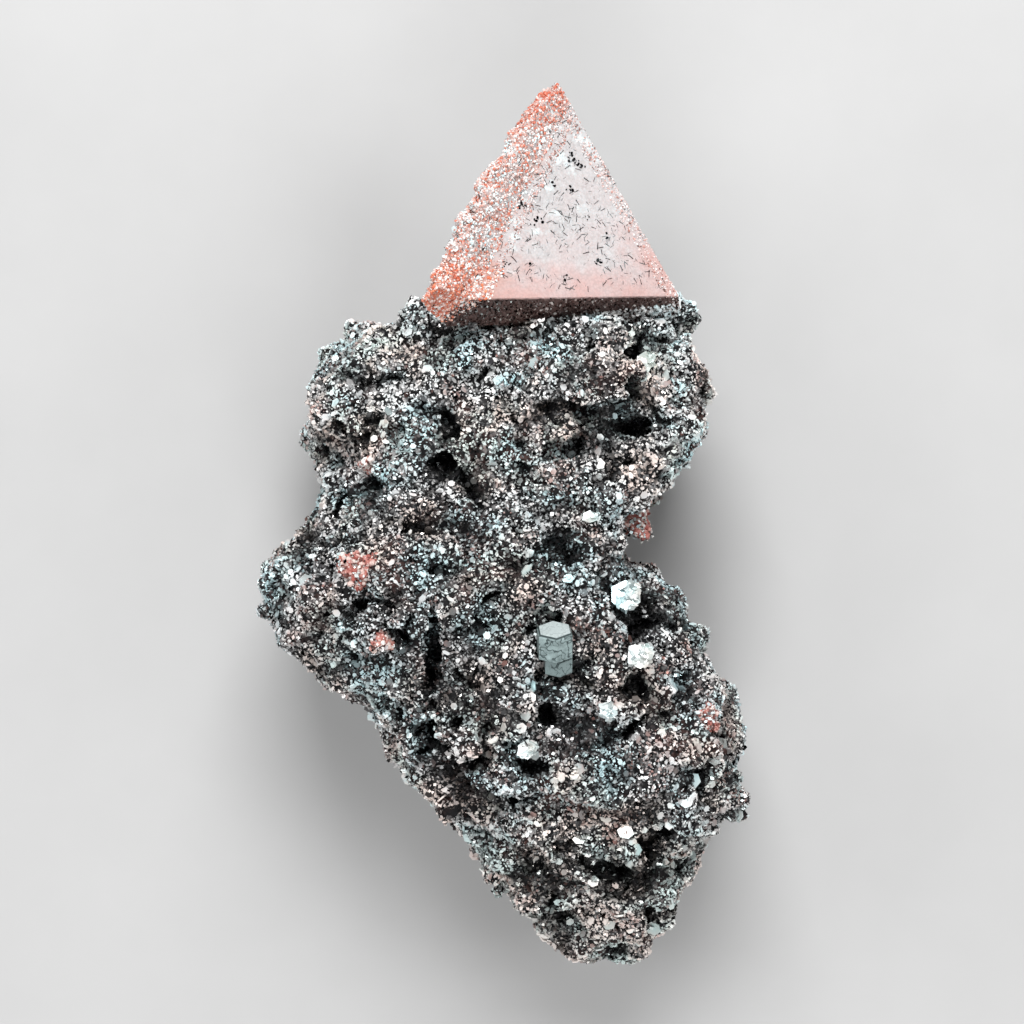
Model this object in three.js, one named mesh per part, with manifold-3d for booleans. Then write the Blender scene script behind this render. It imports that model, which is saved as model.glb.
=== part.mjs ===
// A zunyite crystal on its matrix: a bevelled tetrahedron standing on a crumbly lump of glittering hematite.
// Millimetres, +Z up. The specimen lies on its broken back: the crystal's bright face looks up and its tip
// points to +Y. Until the last step, X and Y run from the middle of the front and Z from the flat back.

import * as THREE from "three";
import { ConvexGeometry } from "three/addons/geometries/ConvexGeometry.js";
import { ImprovedNoise } from "three/addons/math/ImprovedNoise.js";
import { mergeVertices } from "three/addons/utils/BufferGeometryUtils.js";
import Module from "manifold-3d";

const wasm = await Module();
wasm.setup();

// Clearance between a crystal and the socket that it grew in
const SOCKET_GAP = 0.3;

// The matrix: its left and right edges, its front and its back along the length, each as [y, value]
const LEFT_EDGE = [
  [-29, 5.2], [-28.4, 4], [-27.2, 2.9], [-25, 1.3], [-22.4, -0.9], [-20.1, -3.2], [-17.8, -5.6],
  [-15.5, -7.5], [-13.4, -8.2], [-11.4, -10.6], [-9.9, -12.7], [-8.2, -13.5], [-6.1, -15.2], [-4.2, -15.7],
  [-2.3, -15], [-0.2, -13.2], [2, -12], [4.2, -12], [5.6, -13.1], [7.9, -12.6], [10.1, -12], [11.9, -10.9],
  [13.4, -7],
];
const RIGHT_EDGE = [
  [-29, 8.4], [-28.4, 9.6], [-27.2, 10], [-25.8, 11.4], [-24.2, 12.9], [-22.5, 12.9], [-20.9, 13.9],
  [-18.9, 15.2], [-16.9, 15.1], [-14.3, 15.5], [-11, 14.8], [-9, 13], [-7, 12.6], [-4.7, 11.2], [-3.2, 9],
  [-1.2, 7.7], [0.7, 8.5], [1.9, 9.7], [4.1, 11.8], [6.4, 13.2], [8.4, 13.7], [9.6, 13.3], [11.5, 11.9],
  [13.4, 11],
];
const FRONT = [
  [-29, 8], [-27, 11], [-22, 15.5], [-15, 18.5], [-8, 19.5], [-2, 19], [4, 17.5], [9, 17], [13.4, 15],
];
const BACK = [[-29, 4.5], [-26, 1], [-20, -1.2], [-5, -1.5], [8, -1], [13.4, 1.5]];
const SHELF_Y = 13.2;
const FOOT_Y = -28.8;
const RINGS = 25;
const RING_POINTS = 48;
const SECTION_POWER = 0.82;

// Relief of the broken surface: each layer of lumps has a spacing and a height
const RELIEF = [{ spacing: 8.5, height: 2.2 }, { spacing: 4.2, height: 1.2 }, { spacing: 2.9, height: 0.5 }];
const EDGE_RELIEF = 0.35;

// Lumps that stand out of the matrix, as their place and their half sizes
const LUMPS = [
  { name: "left lobe", at: [-8.2, 8.2, 10.5], size: [4.6, 4.6, 5.2] },
  { name: "right knob", at: [9.6, 8.7, 10], size: [4.3, 3.7, 5.4] },
  { name: "ledge over the caves", at: [5.4, 9.2, 15.6], size: [3.9, 1.7, 3] },
  { name: "middle ridge", at: [0.6, -2.8, 12.6], size: [6.6, 6, 7.2] },
  { name: "lower left lobe", at: [-9.6, -6, 9.5], size: [5.6, 5.4, 6.8] },
  { name: "belly", at: [1, -12.5, 13], size: [6, 5.4, 7.2] },
  { name: "right flank", at: [9.6, -8.6, 10.5], size: [3.8, 4.2, 6.4] },
  { name: "lower right lobe", at: [9.8, -16.2, 9.5], size: [5.8, 5.2, 7.4] },
  { name: "lower left cheek", at: [3.2, -20.4, 10.5], size: [4.8, 4.6, 6] },
  { name: "left toe", at: [5.2, -27, 7], size: [2.1, 2.2, 3] },
  { name: "right toe", at: [8.7, -26.8, 6.6], size: [2, 2.1, 3] },
  { name: "spur", at: [15.2, -18.9, 8.5], size: [1.5, 1, 1.5] },
  { name: "right tip", at: [11.2, 13.9, 10], size: [1.8, 1.3, 2.2] },
  { name: "left shoulder", at: [-5.4, 13, 11.5], size: [1.8, 1.9, 3] },
  { name: "left pinnacle", at: [-9.4, 12.2, 10], size: [1, 1.2, 1.2] },
  { name: "mound behind the crystal", at: [3.4, 13.6, 5], size: [6.4, 5.2, 4.8] },
];
const LUMP_DETAIL = { broad: 2, small: 1 };
const BROAD_LUMP = 2.5;
const LUMP_ROUGHNESS = 0.2;

// Hollows in the front, as the middle of the mouth, the half sizes and the turn of the mouth in degrees
const HOLLOWS = [
  { name: "left pit", at: [-6.5, 6.1], size: [1, 0.8, 2.4], turn: 15 },
  { name: "middle pit", at: [1.1, 7.6], size: [0.9, 1.5, 3], turn: -20 },
  { name: "upper cave", at: [5.1, 7.2], size: [2, 0.8, 3.4], turn: 0 },
  { name: "lower cave", at: [4.3, 4.9], size: [2.7, 1.1, 4.6], turn: 8 },
  { name: "right cave", at: [8.6, 6.4], size: [1.3, 0.9, 3], turn: -10 },
  { name: "slanting groove", at: [-4.2, 3.9], size: [2, 0.7, 2.4], turn: 38 },
  { name: "left groove", at: [-10.6, 1.4], size: [0.7, 2.4, 2.6], turn: -22 },
  { name: "left cave", at: [-8.6, -4.4], size: [1.9, 1, 3], turn: 10 },
  { name: "long crevice", at: [-4.4, -7.8], size: [0.7, 4, 3.4], turn: -3 },
  { name: "crevice foot", at: [-5.2, -13], size: [1.8, 0.7, 2.2], turn: 24 },
  { name: "undercut", at: [-2.8, 12], size: [2.6, 0.7, 2.6], turn: 4 },
  { name: "middle slot", at: [2.2, -5.5], size: [1.7, 0.6, 2], turn: 6 },
  { name: "belly slot", at: [3.1, -12.7], size: [0.7, 1.8, 2.2], turn: 12 },
  { name: "lower pit", at: [2.4, -21.6], size: [1, 0.8, 2], turn: 0 },
];
const HOLLOW_DETAIL = 0;
const HOLLOW_ROUGHNESS = 0.2;

// Hematite tablets scattered over the matrix and fused to it
const TABLET_COUNT = 36;
const TABLET_RADIUS = [0.6, 1.25];
const TABLET_THICKNESS = [0.35, 0.6];
const TABLET_LEAN = 65;

// The large crystal, a tetrahedron whose six edges are cut back by cube faces. A face is its direction on the
// crystal's own axes and its distance from the crystal's middle.
const TETRAHEDRON_EDGE = 20;
const TETRAHEDRON_DISTANCE = TETRAHEDRON_EDGE / (2 * Math.sqrt(6));
const TETRAHEDRON = [[1, 1, -1], [1, -1, 1], [-1, 1, 1], [-1, -1, -1]];
const EDGE_CUTS = [
  { name: "left bevel", face: [1, 0, 0], distance: 6.35 },
  { name: "right bevel", face: [0, 1, 0], distance: 6.55 },
  { name: "tip bevel", face: [0, 0, 1], distance: 6.1 },
  { name: "lower bevel", face: [0, 0, -1], distance: 5.1 },
  { name: "lower back bevel", face: [0, -1, 0], distance: 6.2 },
  { name: "right back bevel", face: [-1, 0, 0], distance: 6.4 },
];
const CRYSTAL_AT = [2.2, 18, 12.2];
const CRYSTAL_TURN = 21;
const CRYSTAL_ROLL = 2;

// Crust of small blocky crystals that roughens the left bevel
const CRUST_COUNT = 24;
const CRUST_SIZE = [0.4, 0.75];

// Small zunyite crystals in the matrix, as their place on its front, their size against the large one,
// their turn in degrees and how deep they are sunk
const BUDS = [
  { at: [-9.1, -2.7], scale: 0.16, turn: [20, 35, 10], sink: 0.1 },
  { at: [8.3, 0.5], scale: 0.13, turn: [-15, 60, 40], sink: 0.2 },
  { at: [-8.7, 4], scale: 0.085, turn: [40, 10, 75], sink: 0.1 },
  { at: [-7.9, -7.4], scale: 0.085, turn: [10, -30, 20], sink: 0.1 },
  { at: [13.2, -12.5], scale: 0.09, turn: [-20, 15, 55], sink: 0.1 },
];

// The pale six-sided prism in the middle of the matrix
const PRISM = { at: [3.3, -7.9], radius: 1.15, length: 3.2, lean: 62, roll: 6, sink: 0.6 };

// Rosettes of bright hematite tablets, as their place on the front and their radius
const ROSETTES = [
  { at: [7.9, -4.5], radius: 1.3 },
  { at: [8.8, -8.4], radius: 1.1 },
  { at: [5.6, 0.5], radius: 0.7 },
  { at: [1.6, -14.3], radius: 0.9 },
  { at: [6.7, -11.9], radius: 0.8 },
  { at: [9.3, 10.6], radius: 0.9 },
];
const ROSETTE_LIFT = 0.25;
const ROSETTE_LEAN = 22;
const ROSETTE_SPREAD = 14;

const MATERIALS = {
  matrix: new THREE.MeshStandardMaterial({ color: 0x4a4646, roughness: 0.45, metalness: 0.55 }),
  zunyite: new THREE.MeshStandardMaterial({ color: 0xe6c9c2, roughness: 0.5, metalness: 0 }),
  redZunyite: new THREE.MeshStandardMaterial({ color: 0xc97068, roughness: 0.5, metalness: 0 }),
  prism: new THREE.MeshStandardMaterial({ color: 0x8fa3a2, roughness: 0.35, metalness: 0.2 }),
  rosette: new THREE.MeshStandardMaterial({ color: 0xd6e4e4, roughness: 0.2, metalness: 0.85 }),
};

const { degToRad, lerp, clamp, seededRandom } = THREE.MathUtils;
const noise = new ImprovedNoise();

// A smooth curve through [y, value] pairs, read at any y
function along(pairs) {
  const curve = new THREE.CubicInterpolant(pairs.map((pair) => pair[0]), pairs.map((pair) => pair[1]), 1);
  return (y) => curve.evaluate(y)[0];
}

const leftEdge = along(LEFT_EDGE);
const rightEdge = along(RIGHT_EDGE);
const front = along(FRONT);
const back = along(BACK);

// The middle and the half sizes of the matrix's section at y
function sectionAt(y) {
  return {
    x: (leftEdge(y) + rightEdge(y)) / 2,
    z: (front(y) + back(y)) / 2,
    halfWidth: (rightEdge(y) - leftEdge(y)) / 2,
    halfDepth: (front(y) - back(y)) / 2,
  };
}

const softened = (value) => Math.sign(value) * Math.abs(value) ** SECTION_POWER;

// Rounded lumps with sharp creases between them, summed over the layers of RELIEF
function reliefAt(point) {
  return RELIEF.reduce((sum, { spacing, height }) => {
    const [x, y, z] = point.clone().divideScalar(spacing).toArray();
    return sum + height * (2 * Math.abs(noise.noise(x + 7.3, y + 3.1, z + 11.7)) - 0.5);
  }, 0);
}

// The point of the matrix's surface at y and at an angle round its section, and the way that it faces there
function surfaceAt(y, angle, share = 1) {
  const { x, z, halfWidth, halfDepth } = sectionAt(y);
  const [across, up] = [Math.cos(angle), Math.sin(angle)];
  const outward = new THREE.Vector3(across / halfWidth, 0, up / halfDepth).normalize();
  const reach = new THREE.Vector3(halfWidth * softened(across), 0, halfDepth * softened(up));
  const point = new THREE.Vector3(x, y, z).addScaledVector(reach, share);
  const strength = lerp(EDGE_RELIEF, 1, Math.abs(up)) * share;
  return { point: point.addScaledVector(outward, reliefAt(point) * strength), outward };
}

// The height of the matrix's front over a place on the plan
function frontOver([x, y]) {
  const section = sectionAt(y);
  const across = clamp((x - section.x) / section.halfWidth, -0.98, 0.98);
  const angle = Math.acos(Math.sign(across) * Math.abs(across) ** (1 / SECTION_POWER));
  return surfaceAt(y, angle).point.z;
}

// A geometry as a solid that can be joined and cut, placed by a matrix
function solidFrom(geometry, placement = new THREE.Matrix4()) {
  const bare = geometry.clone().applyMatrix4(placement);
  bare.deleteAttribute("normal");
  bare.deleteAttribute("uv");
  const merged = mergeVertices(bare, 1e-4);
  const vertProperties = Float32Array.from(merged.getAttribute("position").array);
  const triVerts = Uint32Array.from(merged.index.array);
  return new wasm.Manifold(new wasm.Mesh({ numProp: 3, vertProperties, triVerts }));
}

// The largest body of a solid, as a geometry
function geometryFrom(solid) {
  const [largest] = solid.decompose().sort((a, b) => b.volume() - a.volume());
  const { vertProperties, triVerts } = largest.getMesh();
  const geometry = new THREE.BufferGeometry();
  geometry.setAttribute("position", new THREE.BufferAttribute(vertProperties, 3));
  geometry.setIndex(new THREE.BufferAttribute(triVerts, 1));
  geometry.computeVertexNormals();
  return geometry;
}

// A rounded rough stone of half size 1
function roughBall(detail, roughness, seed) {
  const geometry = new THREE.IcosahedronGeometry(1, detail);
  const place = geometry.getAttribute("position");
  const point = new THREE.Vector3();
  for (let i = 0; i < place.count; i += 1) {
    point.fromBufferAttribute(place, i);
    const [x, y, z] = point.clone().multiplyScalar(1.7).toArray();
    const [broad, fine] = [noise.noise(x + seed, y, z - seed), noise.noise(2.3 * x, 2.3 * y + seed, 2.3 * z)];
    const swell = 1 + roughness * (2 * broad + fine);
    place.setXYZ(i, ...point.multiplyScalar(swell).toArray());
  }
  return geometry;
}

const placed = (at, turn, size) => new THREE.Matrix4().compose(
  new THREE.Vector3(...at),
  new THREE.Quaternion().setFromEuler(new THREE.Euler(...turn.map(degToRad))),
  new THREE.Vector3(...size),
);

// The convex geometry that a list of flat faces encloses, each grown outwards by the same distance
function enclosedBy(faces, growth = 0) {
  const planes = faces.map(({ face, distance }) => ({
    normal: new THREE.Vector3(...face).normalize(),
    distance: distance + growth,
  }));
  const corners = [];
  planes.forEach((a, i) => planes.slice(i + 1).forEach((b, j) => planes.slice(i + j + 2).forEach((c) => {
    const spread = a.normal.dot(new THREE.Vector3().crossVectors(b.normal, c.normal));
    if (Math.abs(spread) < 1e-6) return;
    const corner = new THREE.Vector3()
      .addScaledVector(new THREE.Vector3().crossVectors(b.normal, c.normal), a.distance)
      .addScaledVector(new THREE.Vector3().crossVectors(c.normal, a.normal), b.distance)
      .addScaledVector(new THREE.Vector3().crossVectors(a.normal, b.normal), c.distance)
      .divideScalar(spread);
    if (planes.every(({ normal, distance }) => normal.dot(corner) < distance + 1e-6)) corners.push(corner);
  })));
  return new ConvexGeometry(corners);
}

// The zunyite shape: a tetrahedron with cut edges, scaled and grown
function zunyiteShape(scale, growth = 0) {
  const tetrahedron = TETRAHEDRON.map((face) => ({ face, distance: TETRAHEDRON_DISTANCE * scale }));
  const cuts = EDGE_CUTS.map(({ face, distance }) => ({ face, distance: distance * scale }));
  return enclosedBy([...tetrahedron, ...cuts], growth);
}

// Turns the crystal's own axes so that its front face looks along +Z with its tip towards +Y, then turns
// that face to the right and rolls it
function crystalTurn() {
  const face = new THREE.Vector3(1, 1, -1).normalize();
  const tip = new THREE.Vector3(1, 1, 1);
  const up = tip.addScaledVector(face, -tip.dot(face)).normalize();
  const right = new THREE.Vector3().crossVectors(up, face);
  const upright = new THREE.Matrix4().makeBasis(right, up, face).transpose();
  const turn = new THREE.Matrix4().makeRotationY(degToRad(CRYSTAL_TURN)).multiply(upright);
  return new THREE.Matrix4().makeRotationZ(degToRad(CRYSTAL_ROLL)).multiply(turn);
}

// The large crystal with its crust, on its own axes
function largeCrystal(growth = 0) {
  const [leftBevel] = EDGE_CUTS;
  let solid = solidFrom(zunyiteShape(1, growth));
  for (let i = 0; i < CRUST_COUNT; i += 1) {
    const draw = (step) => seededRandom(1000 + i * 7 + step);
    const size = lerp(...CRUST_SIZE, draw(1)) + growth;
    // The left bevel is a strip across the crystal's second and third axes: it runs along the sum of the two.
    const run = lerp(-6.6, 6.4, (i + draw(2)) / CRUST_COUNT);
    const side = lerp(-1.4, 0.6, draw(3));
    const at = [leftBevel.distance, (run + side) / Math.SQRT2, (run - side) / Math.SQRT2];
    const turn = [draw(4) * 90, draw(5) * 90, draw(6) * 90];
    solid = solid.add(solidFrom(new THREE.OctahedronGeometry(size, 0), placed(at, turn, [1, 1, 1])));
  }
  return solid;
}

// The smooth core of the matrix: rings along the specimen, closed at both ends
function matrixCore() {
  const stations = [
    { y: FOOT_Y - 0.4, share: 0.45 },
    ...Array.from({ length: RINGS }, (_, i) => ({ y: lerp(FOOT_Y, SHELF_Y, i / (RINGS - 1)), share: 1 })),
    { y: SHELF_Y + 0.3, share: 0.72 },
    { y: SHELF_Y + 0.3, share: 0.36 },
  ];
  const points = stations.flatMap(({ y, share }) => Array.from({ length: RING_POINTS }, (_, i) => (
    surfaceAt(y, (2 * Math.PI * i) / RING_POINTS, share).point
  )));
  const ends = [stations[0], stations.at(-1)].map(({ y }) => {
    const { x, z } = sectionAt(y);
    return new THREE.Vector3(x, y, z);
  });
  const index = [];
  for (let i = 0; i < RING_POINTS; i += 1) {
    const next = (i + 1) % RING_POINTS;
    for (let ring = 0; ring < stations.length - 1; ring += 1) {
      const [low, high] = [ring * RING_POINTS, (ring + 1) * RING_POINTS];
      index.push(low + i, high + i, high + next, low + i, high + next, low + next);
    }
    const lastRing = (stations.length - 1) * RING_POINTS;
    index.push(points.length, i, next);
    index.push(points.length + 1, lastRing + next, lastRing + i);
  }
  const geometry = new THREE.BufferGeometry().setFromPoints([...points, ...ends]);
  return geometry.setIndex(index);
}

// A hematite tablet fused to the matrix, leaning at random
function scatteredTablet(i) {
  const draw = (step) => seededRandom(5000 + i * 11 + step);
  const y = lerp(FOOT_Y + 1, SHELF_Y - 1, (i + draw(1)) / TABLET_COUNT);
  const { point, outward } = surfaceAt(y, draw(2) * 2 * Math.PI);
  const radius = lerp(...TABLET_RADIUS, draw(3));
  const thickness = lerp(...TABLET_THICKNESS, draw(4));
  const lean = [5, 6, 7].map((step) => degToRad(lerp(-TABLET_LEAN, TABLET_LEAN, draw(step))));
  const facing = outward.applyEuler(new THREE.Euler(...lean));
  const turn = new THREE.Quaternion().setFromUnitVectors(new THREE.Vector3(0, 1, 0), facing);
  const geometry = new THREE.CylinderGeometry(radius * 0.92, radius, thickness, 6);
  return solidFrom(geometry, new THREE.Matrix4().compose(point, turn, new THREE.Vector3(1, 1, 1)));
}

// A six-sided tablet of a rosette, leaning up the specimen
function rosetteTablet({ at }, { radius, thickness, away = [0, 0, 0], lean = 0, roll = 0 }) {
  const [x, y, z] = [...at, frontOver(at) + ROSETTE_LIFT].map((value, axis) => value + away[axis]);
  const geometry = new THREE.CylinderGeometry(radius, radius * 0.85, thickness, 6);
  return solidFrom(geometry, placed([x, y, z], [90 - ROSETTE_LEAN + lean, roll, 0], [1, 1, 1]));
}

// A rosette: one broad bright tablet with a small one grown through it
function rosette(place) {
  const { radius } = place;
  const broad = rosetteTablet(place, { radius, thickness: 0.6 });
  const small = rosetteTablet(place, {
    radius: radius * 0.6,
    thickness: 0.5,
    away: [radius * 0.35, radius * 0.25, 0.2],
    lean: ROSETTE_SPREAD,
    roll: 20,
  });
  return broad.add(small);
}

// The socket of a rosette is one wider and deeper tablet
const rosetteSocket = (place) => rosetteTablet(place, {
  radius: place.radius * 1.2 + SOCKET_GAP,
  thickness: 1.2 + 2 * SOCKET_GAP,
});

// Where a crystal that is rooted in the matrix's front stands
const rooted = ({ at, sink }) => [...at, frontOver(at) - sink];

// A small zunyite crystal in its place on the matrix
function bud(seed, growth = 0) {
  return solidFrom(zunyiteShape(seed.scale, growth), placed(rooted(seed), seed.turn, [1, 1, 1]));
}

// The pale prism, leaning up the specimen and out of the matrix
function prism(growth = 0) {
  const sides = Array.from({ length: 6 }, (_, i) => ({
    face: [Math.cos((i * Math.PI) / 3), Math.sin((i * Math.PI) / 3), 0],
    distance: PRISM.radius * Math.cos(Math.PI / 6),
  }));
  const ends = [1, -1].map((way) => ({ face: [0, 0, way], distance: PRISM.length / 2 }));
  const geometry = enclosedBy([...sides, ...ends], growth);
  return solidFrom(geometry, placed(rooted(PRISM), [-PRISM.lean, 0, PRISM.roll], [1, 1, 1]));
}

// The matrix: core, lumps and tablets joined, hollows and sockets cut out, and the back cut flat
function matrix(sockets) {
  let solid = solidFrom(matrixCore());
  LUMPS.forEach(({ at, size }, i) => {
    const detail = size[0] > BROAD_LUMP ? LUMP_DETAIL.broad : LUMP_DETAIL.small;
    const stone = roughBall(detail, LUMP_ROUGHNESS, i * 3.7);
    solid = solid.add(solidFrom(stone, placed(at, [0, 0, 0], size)));
  });
  for (let i = 0; i < TABLET_COUNT; i += 1) solid = solid.add(scatteredTablet(i));
  HOLLOWS.forEach(({ at, size, turn }, i) => {
    const mouth = [...at, frontOver(at) + size[2] * 0.25];
    const hollow = roughBall(HOLLOW_DETAIL, HOLLOW_ROUGHNESS, i * 5.3);
    solid = solid.subtract(solidFrom(hollow, placed(mouth, [0, 0, turn], size)));
  });
  sockets.forEach((socket) => {
    solid = solid.subtract(socket);
  });
  const aboveBack = solidFrom(new THREE.BoxGeometry(100, 100, 60), placed([0, 0, 30], [0, 0, 0], [1, 1, 1]));
  return solid.intersect(aboveBack);
}

function node(name, geometry, material) {
  const mesh = new THREE.Mesh(geometry, material);
  mesh.name = name;
  return mesh;
}

const crystalPlace = new THREE.Matrix4().makeTranslation(...CRYSTAL_AT).multiply(crystalTurn());
const crystalNode = node("zunyite_crystal", geometryFrom(largeCrystal()), MATERIALS.zunyite);
crystalNode.applyMatrix4(crystalPlace);

const sockets = [
  largeCrystal(SOCKET_GAP).transform(crystalPlace.elements),
  prism(SOCKET_GAP),
  ...BUDS.map((seed) => bud(seed, SOCKET_GAP)),
  ...ROSETTES.map(rosetteSocket),
];

const specimen = new THREE.Group();
specimen.add(node("matrix", geometryFrom(matrix(sockets)), MATERIALS.matrix));
specimen.add(crystalNode);
specimen.add(node("prism_crystal", geometryFrom(prism()), MATERIALS.prism));
BUDS.forEach((seed, i) => {
  specimen.add(node(`small_zunyite_${i + 1}`, geometryFrom(bud(seed)), MATERIALS.redZunyite));
});
ROSETTES.forEach((place, i) => {
  specimen.add(node(`hematite_rosette_${i + 1}`, geometryFrom(rosette(place)), MATERIALS.rosette));
});

// The origin is under the middle of the specimen, on the surface that its flat back rests on
const box = new THREE.Box3().setFromObject(specimen, true);
const middle = box.getCenter(new THREE.Vector3());
specimen.position.set(-middle.x, -middle.y, -box.min.z);

export default specimen;
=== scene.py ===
"""Dresses the zunyite specimen: a bevelled pink and white crystal on a lump of glittering hematite plates.

Class fields are in millimetres and degrees. Meshes are in metres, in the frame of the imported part: the
specimen lies on its flat back, its front looks up (+Z) and the tip of the large crystal points to +Y.
"""

import logging
import math
import random
from dataclasses import dataclass, field, fields
from enum import Enum
from typing import Any, Callable, ClassVar, Mapping, Optional, Sequence, Union

import bmesh
import bpy
from mathutils import Matrix, Vector, noise
from mathutils.bvhtree import BVHTree

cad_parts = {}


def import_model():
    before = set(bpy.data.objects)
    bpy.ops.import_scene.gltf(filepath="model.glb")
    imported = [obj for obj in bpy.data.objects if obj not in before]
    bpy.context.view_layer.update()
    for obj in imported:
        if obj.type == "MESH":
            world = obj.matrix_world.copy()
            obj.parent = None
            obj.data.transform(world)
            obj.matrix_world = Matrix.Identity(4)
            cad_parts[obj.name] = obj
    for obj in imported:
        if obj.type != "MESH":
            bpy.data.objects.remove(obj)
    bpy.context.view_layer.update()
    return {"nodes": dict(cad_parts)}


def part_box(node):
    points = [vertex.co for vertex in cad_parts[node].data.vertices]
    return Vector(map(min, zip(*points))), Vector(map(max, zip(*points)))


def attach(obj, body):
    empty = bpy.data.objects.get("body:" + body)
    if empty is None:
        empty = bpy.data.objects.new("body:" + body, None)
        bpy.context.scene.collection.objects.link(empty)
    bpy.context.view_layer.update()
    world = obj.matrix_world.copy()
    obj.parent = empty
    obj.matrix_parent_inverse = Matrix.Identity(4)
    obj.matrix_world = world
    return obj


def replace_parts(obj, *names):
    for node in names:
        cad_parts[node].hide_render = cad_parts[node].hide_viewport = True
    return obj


LOG = logging.getLogger("zunyite_specimen")
MM = 0.001
WELD = 0.002
CORNER_WELD = 0.01
FLAT_ANGLE = math.radians(0.5)
SHARP_ANGLE = math.radians(25)
SEAT_SHAPE = (0.7, 1.0)
SEAT_TURNS = ((-0.6, 0.1), (-0.3, 0.3), (0.0, 6.28))
ROOT = "root"
ROSETTE_NODES = tuple(f"hematite_rosette_{i}" for i in range(1, 7))
SMALL_ZUNYITE_NODES = tuple(f"small_zunyite_{i}" for i in range(1, 6))

Colour = tuple[float, float, float]
Point = tuple[float, float, float]
Place = tuple[float, float]
Span = tuple[float, float]
Stops = tuple[tuple[float, Colour], ...]
Value = Union[float, int, bool, str, Sequence[float], bpy.types.ID, bpy.types.NodeSocket]
Draw = Callable[[int, Value, Value], bpy.types.NodeSocket]


class Facet(Enum):
    """Faces of the large crystal, by the way that they look on the crystal's own axes."""

    FRONT = (1, 1, -1)
    LEFT_BACK = (1, -1, 1)
    RIGHT_BACK = (-1, 1, 1)
    FOOT = (-1, -1, -1)
    LEFT_BEVEL = (1, 0, 0)
    RIGHT_BEVEL = (0, 1, 0)
    TIP_BEVEL = (0, 0, 1)
    LOWER_BEVEL = (0, 0, -1)
    LOWER_BACK_BEVEL = (0, -1, 0)
    RIGHT_BACK_BEVEL = (-1, 0, 0)


class GrainShape(Enum):
    """Shapes of the small crystals that are scattered over a surface."""

    FLAKE = "flake"
    PLATE = "plate"
    TABLET = "tablet"
    CRUMB = "crumb"
    NEEDLE = "needle"


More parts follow.
